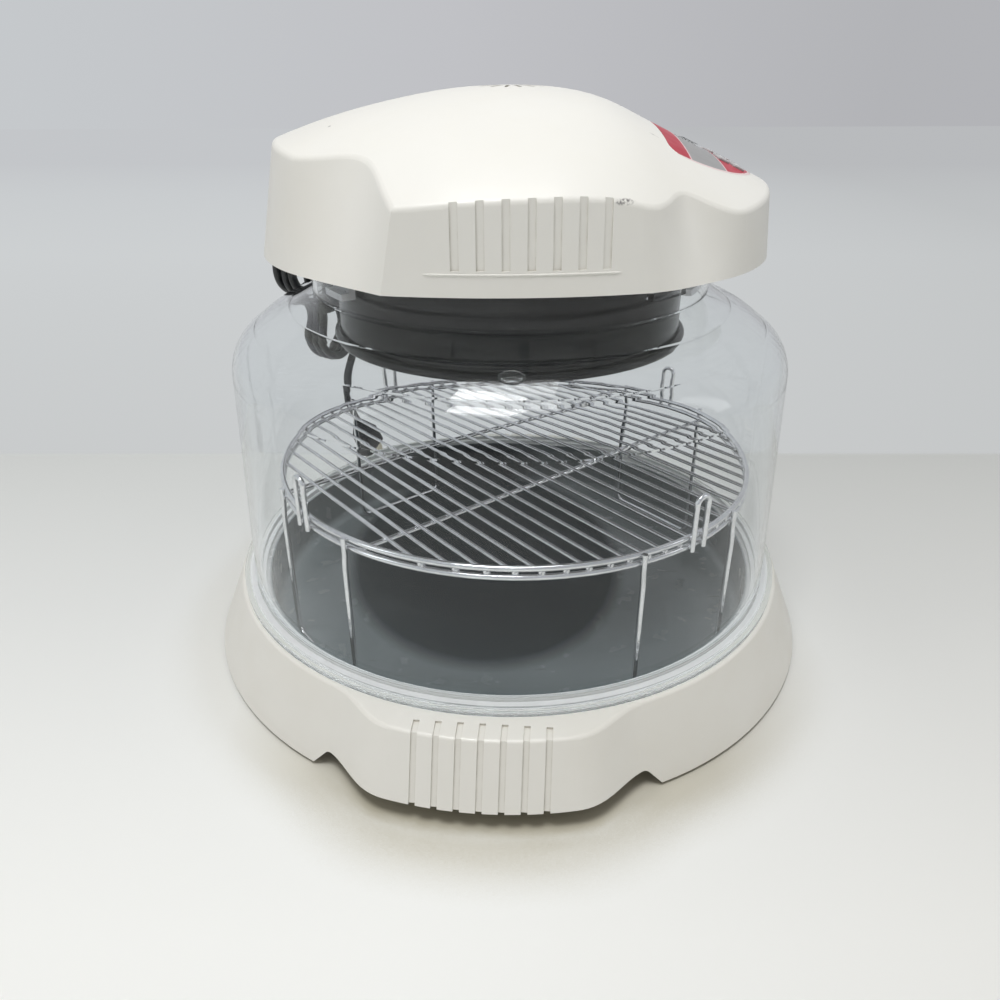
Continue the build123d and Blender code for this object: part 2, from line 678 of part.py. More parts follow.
with BuildPart() as seal_ring:
    with BuildSketch(Plane.XY.offset(COLLAR_TOP)):
        Circle(COLLAR_R)
        Circle(COLLAR_R - DOME_WALL, mode=Mode.SUBTRACT)
    extrude(amount=HEAD_FOOT - COLLAR_TOP)
seal_ring.part.label = "seal_ring"
export_step(seal_ring.part, "parts/seal_ring.step")

# hooks that pass between the collar's lugs and turn under them
HOOK_OUT = sqrt((COLLAR_R - DOME_WALL - LUG_REACH - HOOK_GAP) ** 2 - (HOOK_WIDE / 2) ** 2)
HOOK_FOOT = LUG_Z - HOOK_GAP - HOOK_THICK
with BuildPart() as lock_hooks:
    for lug in range(LUG_COUNT):
        hook_turn = Location((0, 0, 0), (0, 0, LOCK_START + lug * 360 / LUG_COUNT))
        with BuildSketch(Plane(hook_turn * Plane.XZ.location)):
            with BuildLine():
                Polyline(
                    (HOOK_OUT - HOOK_THICK, HEAD_FOOT),
                    (HOOK_OUT, HEAD_FOOT),
                    (HOOK_OUT, HOOK_FOOT + HOOK_THICK),
                    (COLLAR_R - DOME_WALL - 2 * HOOK_GAP, HOOK_FOOT + HOOK_THICK),
                    (COLLAR_R - DOME_WALL - 2 * HOOK_GAP, HOOK_FOOT),
                    (HOOK_OUT - HOOK_THICK, HOOK_FOOT),
                    close=True,
                )
            make_face()
        extrude(amount=HOOK_WIDE / 2, both=True)
    # the hooks follow the collar's round
    with BuildSketch(Plane.XY.offset(HOOK_FOOT)):
        Circle(COLLAR_R - DOME_WALL - 2 * HOOK_GAP)
        Circle(HOUSING_R + 2 * SIDE_GAP, mode=Mode.SUBTRACT)
    extrude(amount=HEAD_FOOT - HOOK_FOOT, mode=Mode.INTERSECT)
lock_hooks.part.label = "lock_hooks"
export_step(lock_hooks.part, "parts/lock_hooks.step")

# ================================================================ heater
FLANGE_TOP = TRAY_TOP + HOUSING_SHEET

with BuildPart() as heater_housing:
    with BuildSketch(Plane.XZ):
        with BuildLine():
            Polyline(
                (HOUSING_R, HOUSING_FOOT),
                (HOUSING_R, TRAY_TOP),
                (HOUSING_FLANGE_R, TRAY_TOP),
                (HOUSING_FLANGE_R, FLANGE_TOP),
                (HOUSING_R - HOUSING_SHEET, FLANGE_TOP),
                (HOUSING_R - HOUSING_SHEET, HOUSING_FOOT + HOUSING_SHEET),
                (HOUSING_LIP_R, HOUSING_FOOT + HOUSING_SHEET),
                (HOUSING_LIP_R, HOUSING_FOOT),
                close=True,
            )
        make_face()
        with Locations((HOUSING_R + HOUSING_BEAD / 2, HOUSING_FOOT + HOUSING_BEAD)):
            Circle(HOUSING_BEAD)
        with Locations((HOUSING_R - HOUSING_SHEET, HOUSING_FOOT + HOUSING_SHEET)):
            Rectangle(HOUSING_R, HOUSING_R, align=(Align.MAX, Align.MIN), mode=Mode.SUBTRACT)
    revolve(axis=Axis.Z)
heater_housing.part.label = "heater_housing"
export_step(heater_housing.part, "parts/heater_housing.step")

REFLECTOR_R = HOUSING_R - HOUSING_SHEET - SIDE_GAP
with BuildPart() as reflector_plate:
    with BuildSketch(Plane.XZ):
        with BuildLine():
            Polyline(
                (SHAFT_R + SHAFT_CLEAR, REFLECTOR_Z),
                (REFLECTOR_R, REFLECTOR_Z),
                (REFLECTOR_R, FLANGE_TOP),
                (HOUSING_FLANGE_R - 1, FLANGE_TOP),
                (HOUSING_FLANGE_R - 1, FLANGE_TOP + REFLECTOR_SHEET),
                (REFLECTOR_R - REFLECTOR_SHEET, FLANGE_TOP + REFLECTOR_SHEET),
                (REFLECTOR_R - REFLECTOR_SHEET, REFLECTOR_Z + REFLECTOR_SHEET),
                (SHAFT_R + SHAFT_CLEAR, REFLECTOR_Z + REFLECTOR_SHEET),
                close=True,
            )
        make_face()
    revolve(axis=Axis.Z)
    with BuildSketch(Plane.XY.offset(REFLECTOR_Z)):
        for side in (1, -1):
            leg_angle = side * (ELEMENT_OPEN / 2) + ELEMENT_FACE
            leg = Vector(polar(ELEMENT_R, leg_angle)) - Vector(around(leg_angle)) * side * ELEMENT_BEND
            with Locations((leg.X, leg.Y)):
                Circle(ELEMENT_TUBE + SIDE_GAP)
    extrude(amount=REFLECTOR_SHEET, mode=Mode.SUBTRACT)
reflector_plate.part.label = "reflector_plate"
export_step(reflector_plate.part, "parts/reflector_plate.step")

# ring-shaped heating tube with both ends turned up through the reflector
with BuildPart() as heating_element:
    with BuildLine() as element_path:
        ring_start = ELEMENT_FACE + ELEMENT_OPEN / 2
        ring = CenterArc((0, 0, ELEMENT_Z), ELEMENT_R, ring_start, 360 - ELEMENT_OPEN)
        for at, way in ((ring @ 0, ring % 0 * -1), (ring @ 1, ring % 1)):
            bend_end = at + way * ELEMENT_BEND + Vector(0, 0, ELEMENT_BEND)
            TangentArc(at, bend_end, tangent=way)
            Line(bend_end, Vector(bend_end.X, bend_end.Y, ELEMENT_TOP))
    element_wire = element_path.wire()
    with BuildSketch(Plane(origin=element_wire @ 0, z_dir=element_wire % 0)):
        Circle(ELEMENT_TUBE)
    sweep(path=element_wire)
heating_element.part.label = "heating_element"
export_step(heating_element.part, "parts/heating_element.step")

# clips that hang the heating tube from the reflector
with BuildPart() as element_clips:
    for clip in range(CLIP_COUNT):
        turn = ELEMENT_FACE + 180 + (clip - 1) * 360 / CLIP_COUNT * 0.8
        with BuildSketch(Plane(Location((0, 0, 0), (0, 0, turn)) * Plane.XZ.location)):
            with BuildLine():
                back = ELEMENT_R + ELEMENT_TUBE + SIDE_GAP
                under = ELEMENT_Z - ELEMENT_TUBE - SIDE_GAP / 2
                Polyline(
                    (back, REFLECTOR_Z),
                    (back + CLIP_SHEET, REFLECTOR_Z),
                    (back + CLIP_SHEET, under - CLIP_SHEET),
                    (ELEMENT_R - ELEMENT_TUBE, under - CLIP_SHEET),
                    (ELEMENT_R - ELEMENT_TUBE, under),
                    (back, under),
                    close=True,
                )
            make_face()
        extrude(amount=CLIP_WIDTH / 2, both=True)
element_clips.part.label = "element_clips"
export_step(element_clips.part, "parts/element_clips.step")

# guard under the heater: flat rings joined by spokes, lying on the housing's lip
with BuildPart() as heater_guard:
    with BuildSketch(Plane.XY.offset(HOUSING_FOOT + HOUSING_SHEET)):
        Circle(REFLECTOR_R)
        Circle(REFLECTOR_R - 2 * GUARD_BAR, mode=Mode.SUBTRACT)
        for radius in reversed(GUARD_RINGS):
            Circle(radius + GUARD_BAR / 2)
            Circle(radius - GUARD_BAR / 2, mode=Mode.SUBTRACT)
        with PolarLocations(0, GUARD_SPOKES):
            Rectangle(REFLECTOR_R - GUARD_BAR, GUARD_BAR, align=(Align.MIN, Align.CENTER))
    extrude(amount=GUARD_SHEET)
heater_guard.part.label = "heater_guard"
export_step(heater_guard.part, "parts/heater_guard.step")

# ================================================================ fans and motor
with BuildPart() as motor_shaft:
    with BuildSketch(Plane.XY.offset(FAN_TOP - FAN_DEPTH - 2 * FAN_DISC)):
        Circle(SHAFT_R)
    extrude(amount=MOTOR_SEAT + MOTOR_CAP + STACK_HEIGHT - FAN_TOP + FAN_DEPTH)
motor_shaft.part.label = "motor_shaft"
export_step(motor_shaft.part, "parts/motor_shaft.step")


def fan_wheel(radius, disc_foot, blades_foot):
    """Flat disc with straight raked blades and a hub on the shaft."""
    low = min(disc_foot, blades_foot)
    with BuildPart() as wheel:
        with BuildSketch(Plane.XY.offset(disc_foot)):
            Circle(radius)
        extrude(amount=FAN_DISC)
        with BuildSketch(Plane.XY.offset(blades_foot)):
            with PolarLocations((radius + HUB_R) / 2 + 2, FAN_BLADES):
                Rectangle((radius - HUB_R) * 0.8, FAN_DISC, rotation=FAN_RAKE)
        extrude(amount=FAN_DEPTH)
        with BuildSketch(Plane.XY.offset(low)):
            Circle(HUB_R)
        extrude(amount=FAN_DEPTH + FAN_DISC)
        with BuildSketch(Plane.XY.offset(low)):
            Circle(SHAFT_R + SHAFT_FIT)
        extrude(amount=FAN_DEPTH + FAN_DISC, mode=Mode.SUBTRACT)
    return wheel.part


with BuildPart() as convection_fan:
    add(fan_wheel(FAN_R, FAN_TOP - FAN_DISC, FAN_TOP - FAN_DISC - FAN_DEPTH))
convection_fan.part.label = "convection_fan"
export_step(convection_fan.part, "parts/convection_fan.step")

with BuildPart() as cooling_fan:
    add(fan_wheel(COOLER_R, COOLER_FOOT, COOLER_FOOT + FAN_DISC))
cooling_fan.part.label = "cooling_fan"
export_step(cooling_fan.part, "parts/cooling_fan.step")

# bridge over the cooling fan, standing on the reflector
with BuildPart() as motor_bracket:
    with BuildSketch(Plane.XZ):
        with BuildLine():
            bracket_foot = REFLECTOR_Z + REFLECTOR_SHEET
            bracket_top = MOTOR_SEAT - BRACKET_SHEET
            Polyline(
                (-BRACKET_SPAN - BRACKET_TOE, bracket_foot),
                (-BRACKET_SPAN, bracket_foot),
                (-BRACKET_SPAN, bracket_top),
                (BRACKET_SPAN, bracket_top),
                (BRACKET_SPAN, bracket_foot),
                (BRACKET_SPAN + BRACKET_TOE, bracket_foot),
            )
            offset(amount=BRACKET_SHEET, side=Side.LEFT, kind=Kind.INTERSECTION)
        make_face()
    extrude(amount=BRACKET_WIDTH / 2, both=True)
    with BuildSketch(Plane.XY.offset(bracket_top)):
        Circle(SHAFT_R + SHAFT_CLEAR)
    extrude(amount=BRACKET_SHEET, mode=Mode.SUBTRACT)
motor_bracket.part.label = "motor_bracket"
export_step(motor_bracket.part, "parts/motor_bracket.step")

# shaded-pole motor: bearing caps and a stack of iron with a leg for the coil
STACK_FOOT = MOTOR_SEAT + MOTOR_CAP
COIL_Y = STACK / 2 + COIL_WINDOW
with BuildPart() as motor_frame:
    with BuildSketch(Plane.XY.offset(MOTOR_SEAT)):
        Circle(MOTOR_CAP_R)
    extrude(amount=2 * MOTOR_CAP + STACK_HEIGHT)
    with BuildSketch(Plane.XY.offset(STACK_FOOT)) as stack_plan:
        with Locations((0, -STACK / 2)):
            Rectangle(STACK, STACK + COIL_WINDOW + COIL_LEG, align=(Align.CENTER, Align.MIN))
        fillet(stack_plan.vertices(), COIL_LEG / 2)
        with Locations((0, STACK / 2)):
            Rectangle(STACK - 2 * COIL_LEG, COIL_WINDOW, align=(Align.CENTER, Align.MIN), mode=Mode.SUBTRACT)
    extrude(amount=STACK_HEIGHT)
    with BuildSketch(Plane.XY.offset(MOTOR_SEAT)):
        Circle(SHAFT_R + SHAFT_FIT)
    extrude(amount=MOTOR_CAP + STACK_HEIGHT + MOTOR_CAP / 2, mode=Mode.SUBTRACT)
motor_frame.part.label = "motor_frame"
export_step(motor_frame.part, "parts/motor_frame.step")

with BuildPart() as motor_coil:
    with BuildSketch(Plane.YZ):
        with Locations((COIL_Y + COIL_LEG / 2, STACK_FOOT + STACK_HEIGHT / 2)):
            RectangleRounded(COIL_LEG + 2 * COIL_BUILD, STACK_HEIGHT + 2 * COIL_BUILD, COIL_BUILD / 2)
            Rectangle(COIL_LEG + 2 * SIDE_GAP, STACK_HEIGHT + 2 * SIDE_GAP, mode=Mode.SUBTRACT)
    extrude(amount=STACK / 2 - COIL_LEG - SIDE_GAP, both=True)
motor_coil.part.label = "motor_coil"
export_step(motor_coil.part, "parts/motor_coil.step")

# ================================================================ control panel
with BuildPart() as panel_skin:
    with BuildSketch(Plane.XY.offset(HEAD_FOOT)) as skin_plan:
        panel_outline(FIT)
        fillet(skin_plan.vertices(), PANEL_CORNER - FIT)
    extrude(amount=LOFT_LIFT)
    add(crown_solid(RECESS - OVERLAY - GLUE), mode=Mode.INTERSECT)
    add(crown_solid(RECESS - GLUE), mode=Mode.SUBTRACT)

with BuildPart() as panel_overlay:
    add(panel_skin.part)
    with BuildSketch(PANEL_PLANE.offset(-2 * HEAD_WALL)):
        lcd_outline(0)
    extrude(amount=4 * HEAD_WALL, mode=Mode.SUBTRACT)
    for row, angle in KEY_PLACES:
        with BuildSketch(Plane(panel_place(row, angle, -KEY_PROUD))):
            RectangleRounded(KEY_HIGH + 2 * KEY_GAP, KEY_LONG + 2 * KEY_GAP, 1.5)
        extrude(amount=-KEY_PROUD - HEAD_WALL, mode=Mode.SUBTRACT)
panel_overlay.part.label = "panel_overlay"
export_step(panel_overlay.part, "parts/panel_overlay.step")

with BuildPart() as display_window:
    add(panel_skin.part)
    with BuildSketch(PANEL_PLANE.offset(-2 * HEAD_WALL)):
        lcd_outline(FIT)
    extrude(amount=4 * HEAD_WALL, mode=Mode.INTERSECT)
display_window.part.label = "display_window"
export_step(display_window.part, "parts/display_window.step")

BOARD_PLANE = Plane(panel_place(0, 0, -BOARD_TOP))
with BuildPart() as control_board:
    with BuildSketch(BOARD_PLANE):
        Rectangle(BOARD_HIGH, BOARD_LONG)
    extrude(amount=-BOARD_THICK)
control_board.part.label = "control_board"
export_step(control_board.part, "parts/control_board.step")

with BuildPart() as display_module:
    with BuildSketch(BOARD_PLANE):
        with Locations((LCD_U, 0)):
            Rectangle(LCD_HIGH, LCD_WIDE)
    extrude(amount=-BOARD_TOP - HEAD_WALL - LCD_DROP)
display_module.part.label = "display_module"
export_step(display_module.part, "parts/display_module.step")

KEY_SEATS = [
    BOARD_PLANE.to_local_coords(Vector(panel_place(row, angle, -PLUNGER_END).position))
    for row, angle in KEY_PLACES
]
with BuildPart() as key_switches:
    with BuildSketch(BOARD_PLANE):
        with Locations(*[(seat.X, seat.Y) for seat in KEY_SEATS]):
            Rectangle(SWITCH_SIDE, SWITCH_SIDE)
    extrude(amount=SWITCH_BODY)
    with BuildSketch(BOARD_PLANE):
        with Locations(*[(seat.X, seat.Y) for seat in KEY_SEATS]):
            Circle(SWITCH_SIDE / 4)
    extrude(amount=PLUNGER_END - BOARD_TOP - KEY_TRAVEL - GLUE)
key_switches.part.label = "key_switches"
export_step(key_switches.part, "parts/key_switches.step")

for number, (row, angle) in enumerate(KEY_PLACES, start=1):
    with BuildPart() as key:
        with BuildSketch(Plane(panel_place(row, angle, HEAD_WALL + KEY_FLANGE))):
            RectangleRounded(KEY_HIGH, KEY_LONG, 1.5)
        extrude(amount=HEAD_WALL + KEY_FLANGE + KEY_PROUD)
        fillet(key.faces().sort_by(Axis((0, 0, 0), PANEL_PLANE.z_dir))[-1].edges(), KEY_PROUD * 0.6)
        with BuildSketch(Plane(panel_place(row, angle, HEAD_WALL + KEY_FLANGE))):
            Rectangle(KEY_HIGH + 2, KEY_LONG + 2)
        extrude(amount=KEY_FLANGE)
        with BuildSketch(Plane(panel_place(row, angle, -BOARD_TOP))):
            Rectangle(SWITCH_SIDE / 2, SWITCH_SIDE / 2)
        extrude(amount=-BOARD_TOP - HEAD_WALL)
        split(bisect_by=PANEL_PLANE.offset(PLUNGER_END), keep=Keep.TOP)
    key.part.label = f"key_{number}"
    export_step(key.part, f"parts/key_{number}.step")

# ================================================================ rack
RACK_FRAME = Location((RACK_X, 0, 0), (0, 0, RACK_TURN))
RING_STEP = (GRATE_WIRE + RACK_WIRE) / 2 - WELD
LEG_FACE_R = RACK_R + (RACK_WIRE + LEG_WIRE) / 2 - WELD
LEG_FOOT = PAN_FLOOR + RACK_GAP + LEG_WIRE / 2


def on_rack(radius, angle, height):
    """Point given by radius and angle in the rack's own frame."""
    x, y = polar(radius, angle)
    return (RACK_FRAME * Location((x, y, height))).position


def wire_along(path, thickness):
    """Round wire swept along a path."""
    with BuildPart() as wire:
        with BuildSketch(Plane(origin=path @ 0, z_dir=path % 0)):
            Circle(thickness / 2)
        sweep(path=path)
    return wire.part


with BuildPart() as rack_rings:
    for height in (GRATE_Z + RING_STEP, GRATE_Z - RING_STEP):
        with BuildSketch(Plane(RACK_FRAME * Plane.XZ.location)):
            with Locations((RACK_R, height)):
                Circle(RACK_WIRE / 2)
        revolve(axis=Axis(RACK_FRAME.position, (0, 0, 1)))
rack_rings.part.label = "rack_rings"
export_step(rack_rings.part, "parts/rack_rings.step")

with BuildPart() as rack_grate:
    for wire in range(GRATE_COUNT):
        across = (wire - (GRATE_COUNT - 1) / 2) * GRATE_PITCH
        half = sqrt((RACK_R + RACK_WIRE / 4) ** 2 - across**2)
        with BuildSketch(Plane(RACK_FRAME * Plane.YZ.location)):
            with Locations((across, GRATE_Z)):
                Circle(GRATE_WIRE / 2)
        extrude(amount=half, both=True)
rack_grate.part.label = "rack_grate"
export_step(rack_grate.part, "parts/rack_grate.step")

with BuildPart() as rack_bars:
    for side in (-1, 1):
        half = sqrt((RACK_R - RACK_WIRE / 2) ** 2 - BAR_OFFSET**2)
        with BuildSketch(Plane(RACK_FRAME * Plane.XZ.location)):
            with Locations((side * BAR_OFFSET, GRATE_Z - (GRATE_WIRE + BAR_WIRE) / 2 + WELD)):
                Circle(BAR_WIRE / 2)
        extrude(amount=half, both=True)
rack_bars.part.label = "rack_bars"
export_step(rack_bars.part, "parts/rack_bars.step")

with BuildPart() as rack_legs:
    for quarter in range(4):
        route = [
            on_rack(radius, quarter * 90 + side * LEG_HALF, height)
            for side, stations in ((-1, 1), (1, -1))
            for radius, height in [
                (LEG_FACE_R, GRATE_Z + LEG_REACH),
                (LEG_FACE_R, GRATE_Z - LEG_STRAIGHT),
                (LEG_R, GRATE_Z - LEG_JOG),
                (LEG_R, LEG_FOOT),
            ][::stations]
        ]
        with BuildLine():
            leg_path = FilletPolyline(*route, radius=[2 * LEG_WIRE] * 6)
        add(wire_along(leg_path, LEG_WIRE))
rack_legs.part.label = "rack_legs"
export_step(rack_legs.part, "parts/rack_legs.step")

with BuildPart() as rack_hairpins:
    for quarter in range(4):
        spread = degrees(HAIRPIN_HALF / LEG_FACE_R)
        route = [
            on_rack(LEG_FACE_R, quarter * 90 + side * spread, height)
            for side, height in (
                (-1, GRATE_Z - HAIRPIN_ROOT),
                (-1, HAIRPIN_TOP - LEG_WIRE / 2),
                (1, HAIRPIN_TOP - LEG_WIRE / 2),
                (1, GRATE_Z - HAIRPIN_ROOT),
            )
        ]
        with BuildLine():
            hairpin_path = FilletPolyline(*route, radius=HAIRPIN_HALF * 0.9)
        add(wire_along(hairpin_path, LEG_WIRE))
rack_hairpins.part.label = "rack_hairpins"
export_step(rack_hairpins.part, "parts/rack_hairpins.step")

# ================================================================ cord


def bend_radii(route):
    """Radius for each bend of a cord's route, as large as its two runs allow."""
    radii = []
    for before, at, after in zip(route, route[1:], route[2:]):
        run_in, run_out = Vector(*at) - Vector(*before), Vector(*after) - Vector(*at)
        half_turn = radians(run_in.get_angle(run_out) / 2)
        radii.append(0.45 * min(run_in.length, run_out.length) / tan(half_turn))
    return radii


HANK_FRAME = Location(HANK_CENTRE, (0, 0, HANK_ANGLE)) * Location((0, 0, 0), (-HANK_TILT, 0, 0))
HANK_PLANE = Plane(HANK_FRAME * Plane.YZ.location)
GLAND_MOUTH = (GLAND_WAY * GLAND_END) + Vector(0, 0, GLAND_Z)
PLUG_WAY = (Vector(*PLUG_END) - Vector(*TAIL_BENDS[-1])).normalized()

# tapered strain relief, with a core that passes through the head's wall
with BuildPart() as cord_gland:
    with BuildSketch(GLAND_PLANE.offset(GLAND_FOOT)):
        Circle(GLAND_R)
    with BuildSketch(GLAND_PLANE.offset(GLAND_END)):
        Circle(GLAND_TIP_R)
    loft()
    add(head_block.part, mode=Mode.SUBTRACT)
    with BuildSketch(GLAND_PLANE.offset(GLAND_CORE[0])):
        Circle(GLAND_CORE_R)
    extrude(amount=GLAND_CORE[1] - GLAND_CORE[0])
cord_gland.part.label = "cord_gland"
export_step(cord_gland.part, "parts/cord_gland.step")

for name, route in (
    ("cord_lead", [tuple(GLAND_MOUTH), *LEAD_BENDS, LEAD_END]),
    ("cord_tail", [TAIL_START, *TAIL_BENDS, PLUG_END]),
):
    radii = bend_radii(route)
    with BuildLine():
        cord_path = FilletPolyline(*route, radius=radii)
    with BuildPart() as cord:
        add(wire_along(cord_path, 2 * CORD_R))
    plain_volume = pi * CORD_R**2 * cord_path.length
    print(name, "bend radii", [round(radius, 1) for radius in radii])
    print(name, "volume ratio", cord.part.volume / plain_volume)
    cord.part.label = name
    export_step(cord.part, f"parts/{name}.step")

# folded cord: two loops drawn in to a waist by the tie
with BuildPart() as cord_hank:
    with BuildSketch(HANK_PLANE) as hank_plan:
        Rectangle(HANK_WAIST, TIE_WIDE + 2 * TIE_SHEET)
        for end in (-1, 1):
            with BuildSketch(mode=Mode.PRIVATE) as loop_plan:
                with Locations((0, end * (HANK_LONG - HANK_LOOP) / 2)):
                    Circle(HANK_LOOP / 2)
                with Locations((0, end * (TIE_WIDE + TIE_SHEET) / 2)):
                    Rectangle(HANK_WAIST, TIE_SHEET)
                make_hull()
            add(loop_plan.sketch)
        fillet(hank_plan.vertices().filter_by(lambda v: abs(v.Y) < TIE_WIDE), HANK_ROUND)
    extrude(amount=HANK_THICK / 2, both=True)
    rims = cord_hank.edges().filter_by(lambda e: abs((e % 0.5).dot(HANK_PLANE.z_dir)) < 0.5)
    fillet(rims, HANK_ROUND)
cord_hank.part.label = "cord_hank"
export_step(cord_hank.part, "parts/cord_hank.step")

with BuildPart() as cord_tie:
    with BuildSketch(Plane(HANK_FRAME * Location((0, 0, -TIE_WIDE / 2)))):
        RectangleRounded(HANK_THICK + 2 * TIE_SHEET, HANK_WAIST + 2 * TIE_SHEET, HANK_ROUND + TIE_SHEET)
    extrude(amount=TIE_WIDE)
    add(cord_hank.part, mode=Mode.SUBTRACT)
cord_tie.part.label = "cord_tie"
export_step(cord_tie.part, "parts/cord_tie.step")

PLUG_PLANE = Plane(origin=PLUG_END, x_dir=(*around(HANK_ANGLE), 0), z_dir=PLUG_WAY)
with BuildPart() as plug_body:
    with BuildSketch(PLUG_PLANE):
        Circle(CORD_R + TIE_SHEET)
    with BuildSketch(PLUG_PLANE.offset(PLUG_LONG * PLUG_NECK)):
        RectangleRounded(PLUG_WIDE, PLUG_THICK, PLUG_ROUND)
    loft()
    with BuildSketch(PLUG_PLANE.offset(PLUG_LONG * PLUG_NECK)):
        RectangleRounded(PLUG_WIDE, PLUG_THICK, PLUG_ROUND)
    extrude(amount=PLUG_LONG * (1 - PLUG_NECK))
plug_body.part.label = "plug_body"
export_step(plug_body.part, "parts/plug_body.step")

with BuildPart() as plug_prongs:
    with BuildSketch(PLUG_PLANE.offset(PLUG_LONG)):
        with GridLocations(PRONG_PITCH, 0, 2, 1):
            Rectangle(PRONG_THICK, PRONG_WIDE)
    extrude(amount=PRONG_LONG)
plug_prongs.part.label = "plug_prongs"
export_step(plug_prongs.part, "parts/plug_prongs.step")
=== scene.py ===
from math import cos, pi, radians, sin

import bmesh
import bpy
from mathutils import Matrix, Vector
from mathutils.bvhtree import BVHTree


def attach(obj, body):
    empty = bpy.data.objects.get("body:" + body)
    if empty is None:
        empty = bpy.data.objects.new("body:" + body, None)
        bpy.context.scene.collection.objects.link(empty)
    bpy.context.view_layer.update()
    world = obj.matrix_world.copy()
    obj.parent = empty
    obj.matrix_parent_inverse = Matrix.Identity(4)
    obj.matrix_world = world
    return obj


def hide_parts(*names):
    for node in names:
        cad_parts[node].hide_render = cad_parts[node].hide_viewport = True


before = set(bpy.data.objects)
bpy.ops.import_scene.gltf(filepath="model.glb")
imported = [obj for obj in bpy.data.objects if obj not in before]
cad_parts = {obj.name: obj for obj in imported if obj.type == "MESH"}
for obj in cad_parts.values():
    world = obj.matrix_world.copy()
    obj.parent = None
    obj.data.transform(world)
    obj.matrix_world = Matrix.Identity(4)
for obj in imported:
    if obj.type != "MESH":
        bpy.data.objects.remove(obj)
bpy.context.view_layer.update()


# ------------------------------------------------------------ camera
# The camera stands a little above the oven's head and looks down on it from
# the side of one of the two ribbed grips.
CAMERA_PLACE = (-0.0345, -0.4731, 0.3245)
CAMERA_TILT = radians(62.18)
CAMERA_TURN = radians(-3.5)
camera_data = bpy.data.cameras.new("camera")
camera_data.sensor_width = 36.0
camera_data.lens = 28.8
camera = bpy.data.objects.new("camera", camera_data)
camera.location = CAMERA_PLACE
camera.rotation_euler = (CAMERA_TILT, 0, CAMERA_TURN)
bpy.context.scene.collection.objects.link(camera)
bpy.context.scene.camera = camera
bpy.context.scene.view_settings.view_transform = "Standard"


# ------------------------------------------------------------ studio table
# A pale table top runs to a line just behind the oven, where a sheet of grey
# paper takes over. The table keeps its shadows, and a warm shadow is painted on
# it where the base stands close over it; the paper is plain.
def link_chain(tree, *steps):
    """Joins node sockets pair by pair."""
    for out_socket, in_socket in steps:
        tree.links.new(out_socket, in_socket)


def new_material(name):
    """Empty node material; returns it with its tree and its output node."""
    material = bpy.data.materials.new(name)
    material.use_nodes = True
    tree = material.node_tree
    tree.nodes.clear()
    return material, tree, tree.nodes.new("ShaderNodeOutputMaterial")


def spread_value(tree, value, low, high, to_low=0, to_high=1):
    """Map of a value's range onto another."""
    spread = tree.nodes.new("ShaderNodeMapRange")
    for name, number in (("From Min", low), ("From Max", high), ("To Min", to_low), ("To Max", to_high)):
        spread.inputs[name].default_value = number
    tree.links.new(value, spread.inputs["Value"])
    return spread.outputs["Result"]


def combine(tree, way, *values):
    """Math node over numbers or sockets."""
    result = tree.nodes.new("ShaderNodeMath")
    result.operation = way
    for socket, value in zip(result.inputs, values):
        if isinstance(value, (int, float)):
            socket.default_value = value
        else:
            tree.links.new(value, socket)
    return result.outputs[0]


def tone_along(tree, value, span, colours):
    """Colour ramp, evenly spaced, from one end of a value's span to the other."""
    ramp = tree.nodes.new("ShaderNodeValToRGB")
    ramp.color_ramp.elements[0].color = (*colours[0], 1)
    ramp.color_ramp.elements[1].color = (*colours[-1], 1)
    for step, colour in enumerate(colours[1:-1], start=1):
        ramp.color_ramp.elements.new(step / (len(colours) - 1)).color = (*colour, 1)
    tree.links.new(spread_value(tree, value, *span), ramp.inputs["Fac"])
    return ramp.outputs["Color"]


# a Mix node's sockets share their names, so its colour sockets go by number
MIX_FAC, MIX_FIRST, MIX_SECOND, MIX_COLOUR = 0, 6, 7, 2


def blend_colour(tree, fac, first, second, way="MIX"):
    """Mix of two colours or colour sockets."""
    mix = tree.nodes.new("ShaderNodeMix")
    mix.data_type = "RGBA"
    mix.blend_type = way
    for number, value in ((MIX_FIRST, first), (MIX_SECOND, second)):
        if isinstance(value, tuple):
            mix.inputs[number].default_value = (*value, 1)
        else:
            tree.links.new(value, mix.inputs[number])
    if isinstance(fac, (int, float)):
        mix.inputs[MIX_FAC].default_value = fac
    else:
        tree.links.new(fac, mix.inputs[MIX_FAC])
    return mix.outputs[MIX_COLOUR]


def seen_rays(tree):
    """1 for rays that look at a backdrop straight, by reflection or through glass."""
    path = tree.nodes.new("ShaderNodeLightPath").outputs
    straight_or_gloss = combine(tree, "MAXIMUM", path["Is Camera Ray"], path["Is Glossy Ray"])
    return combine(tree, "MAXIMUM", straight_or_gloss, path["Is Transmission Ray"])


MM = 0.001
TABLE_HALF = 6.0
TABLE_END = 234.5 * MM  # where the paper starts, behind the oven
TABLE_SEAM = 6 * MM
# how the tones of table and paper change from front to back (long) and from
# left to right (wide): first and last place, and the tones between them. These
# are painted light, falling off towards the back and the right.
TABLE_LONG, TABLE_WIDE = (-0.26, 0.23), (-0.05, 0.26)
TABLE_LONG_TONES = ((0.90, 0.91, 0.895), (0.76, 0.775, 0.77), (0.66, 0.68, 0.675))
TABLE_WIDE_TONES = ((1.0, 1.0, 1.0), (0.90, 0.895, 0.89))
PAPER_LONG, PAPER_WIDE = (0.235, 3.2), (0.1, 1.3)
PAPER_LONG_TONES = ((0.585, 0.60, 0.605), (0.61, 0.63, 0.64), (0.585, 0.605, 0.62), (0.55, 0.565, 0.585))
PAPER_WIDE_TONES = ((1.0, 1.0, 1.0), (0.88, 0.875, 0.87))
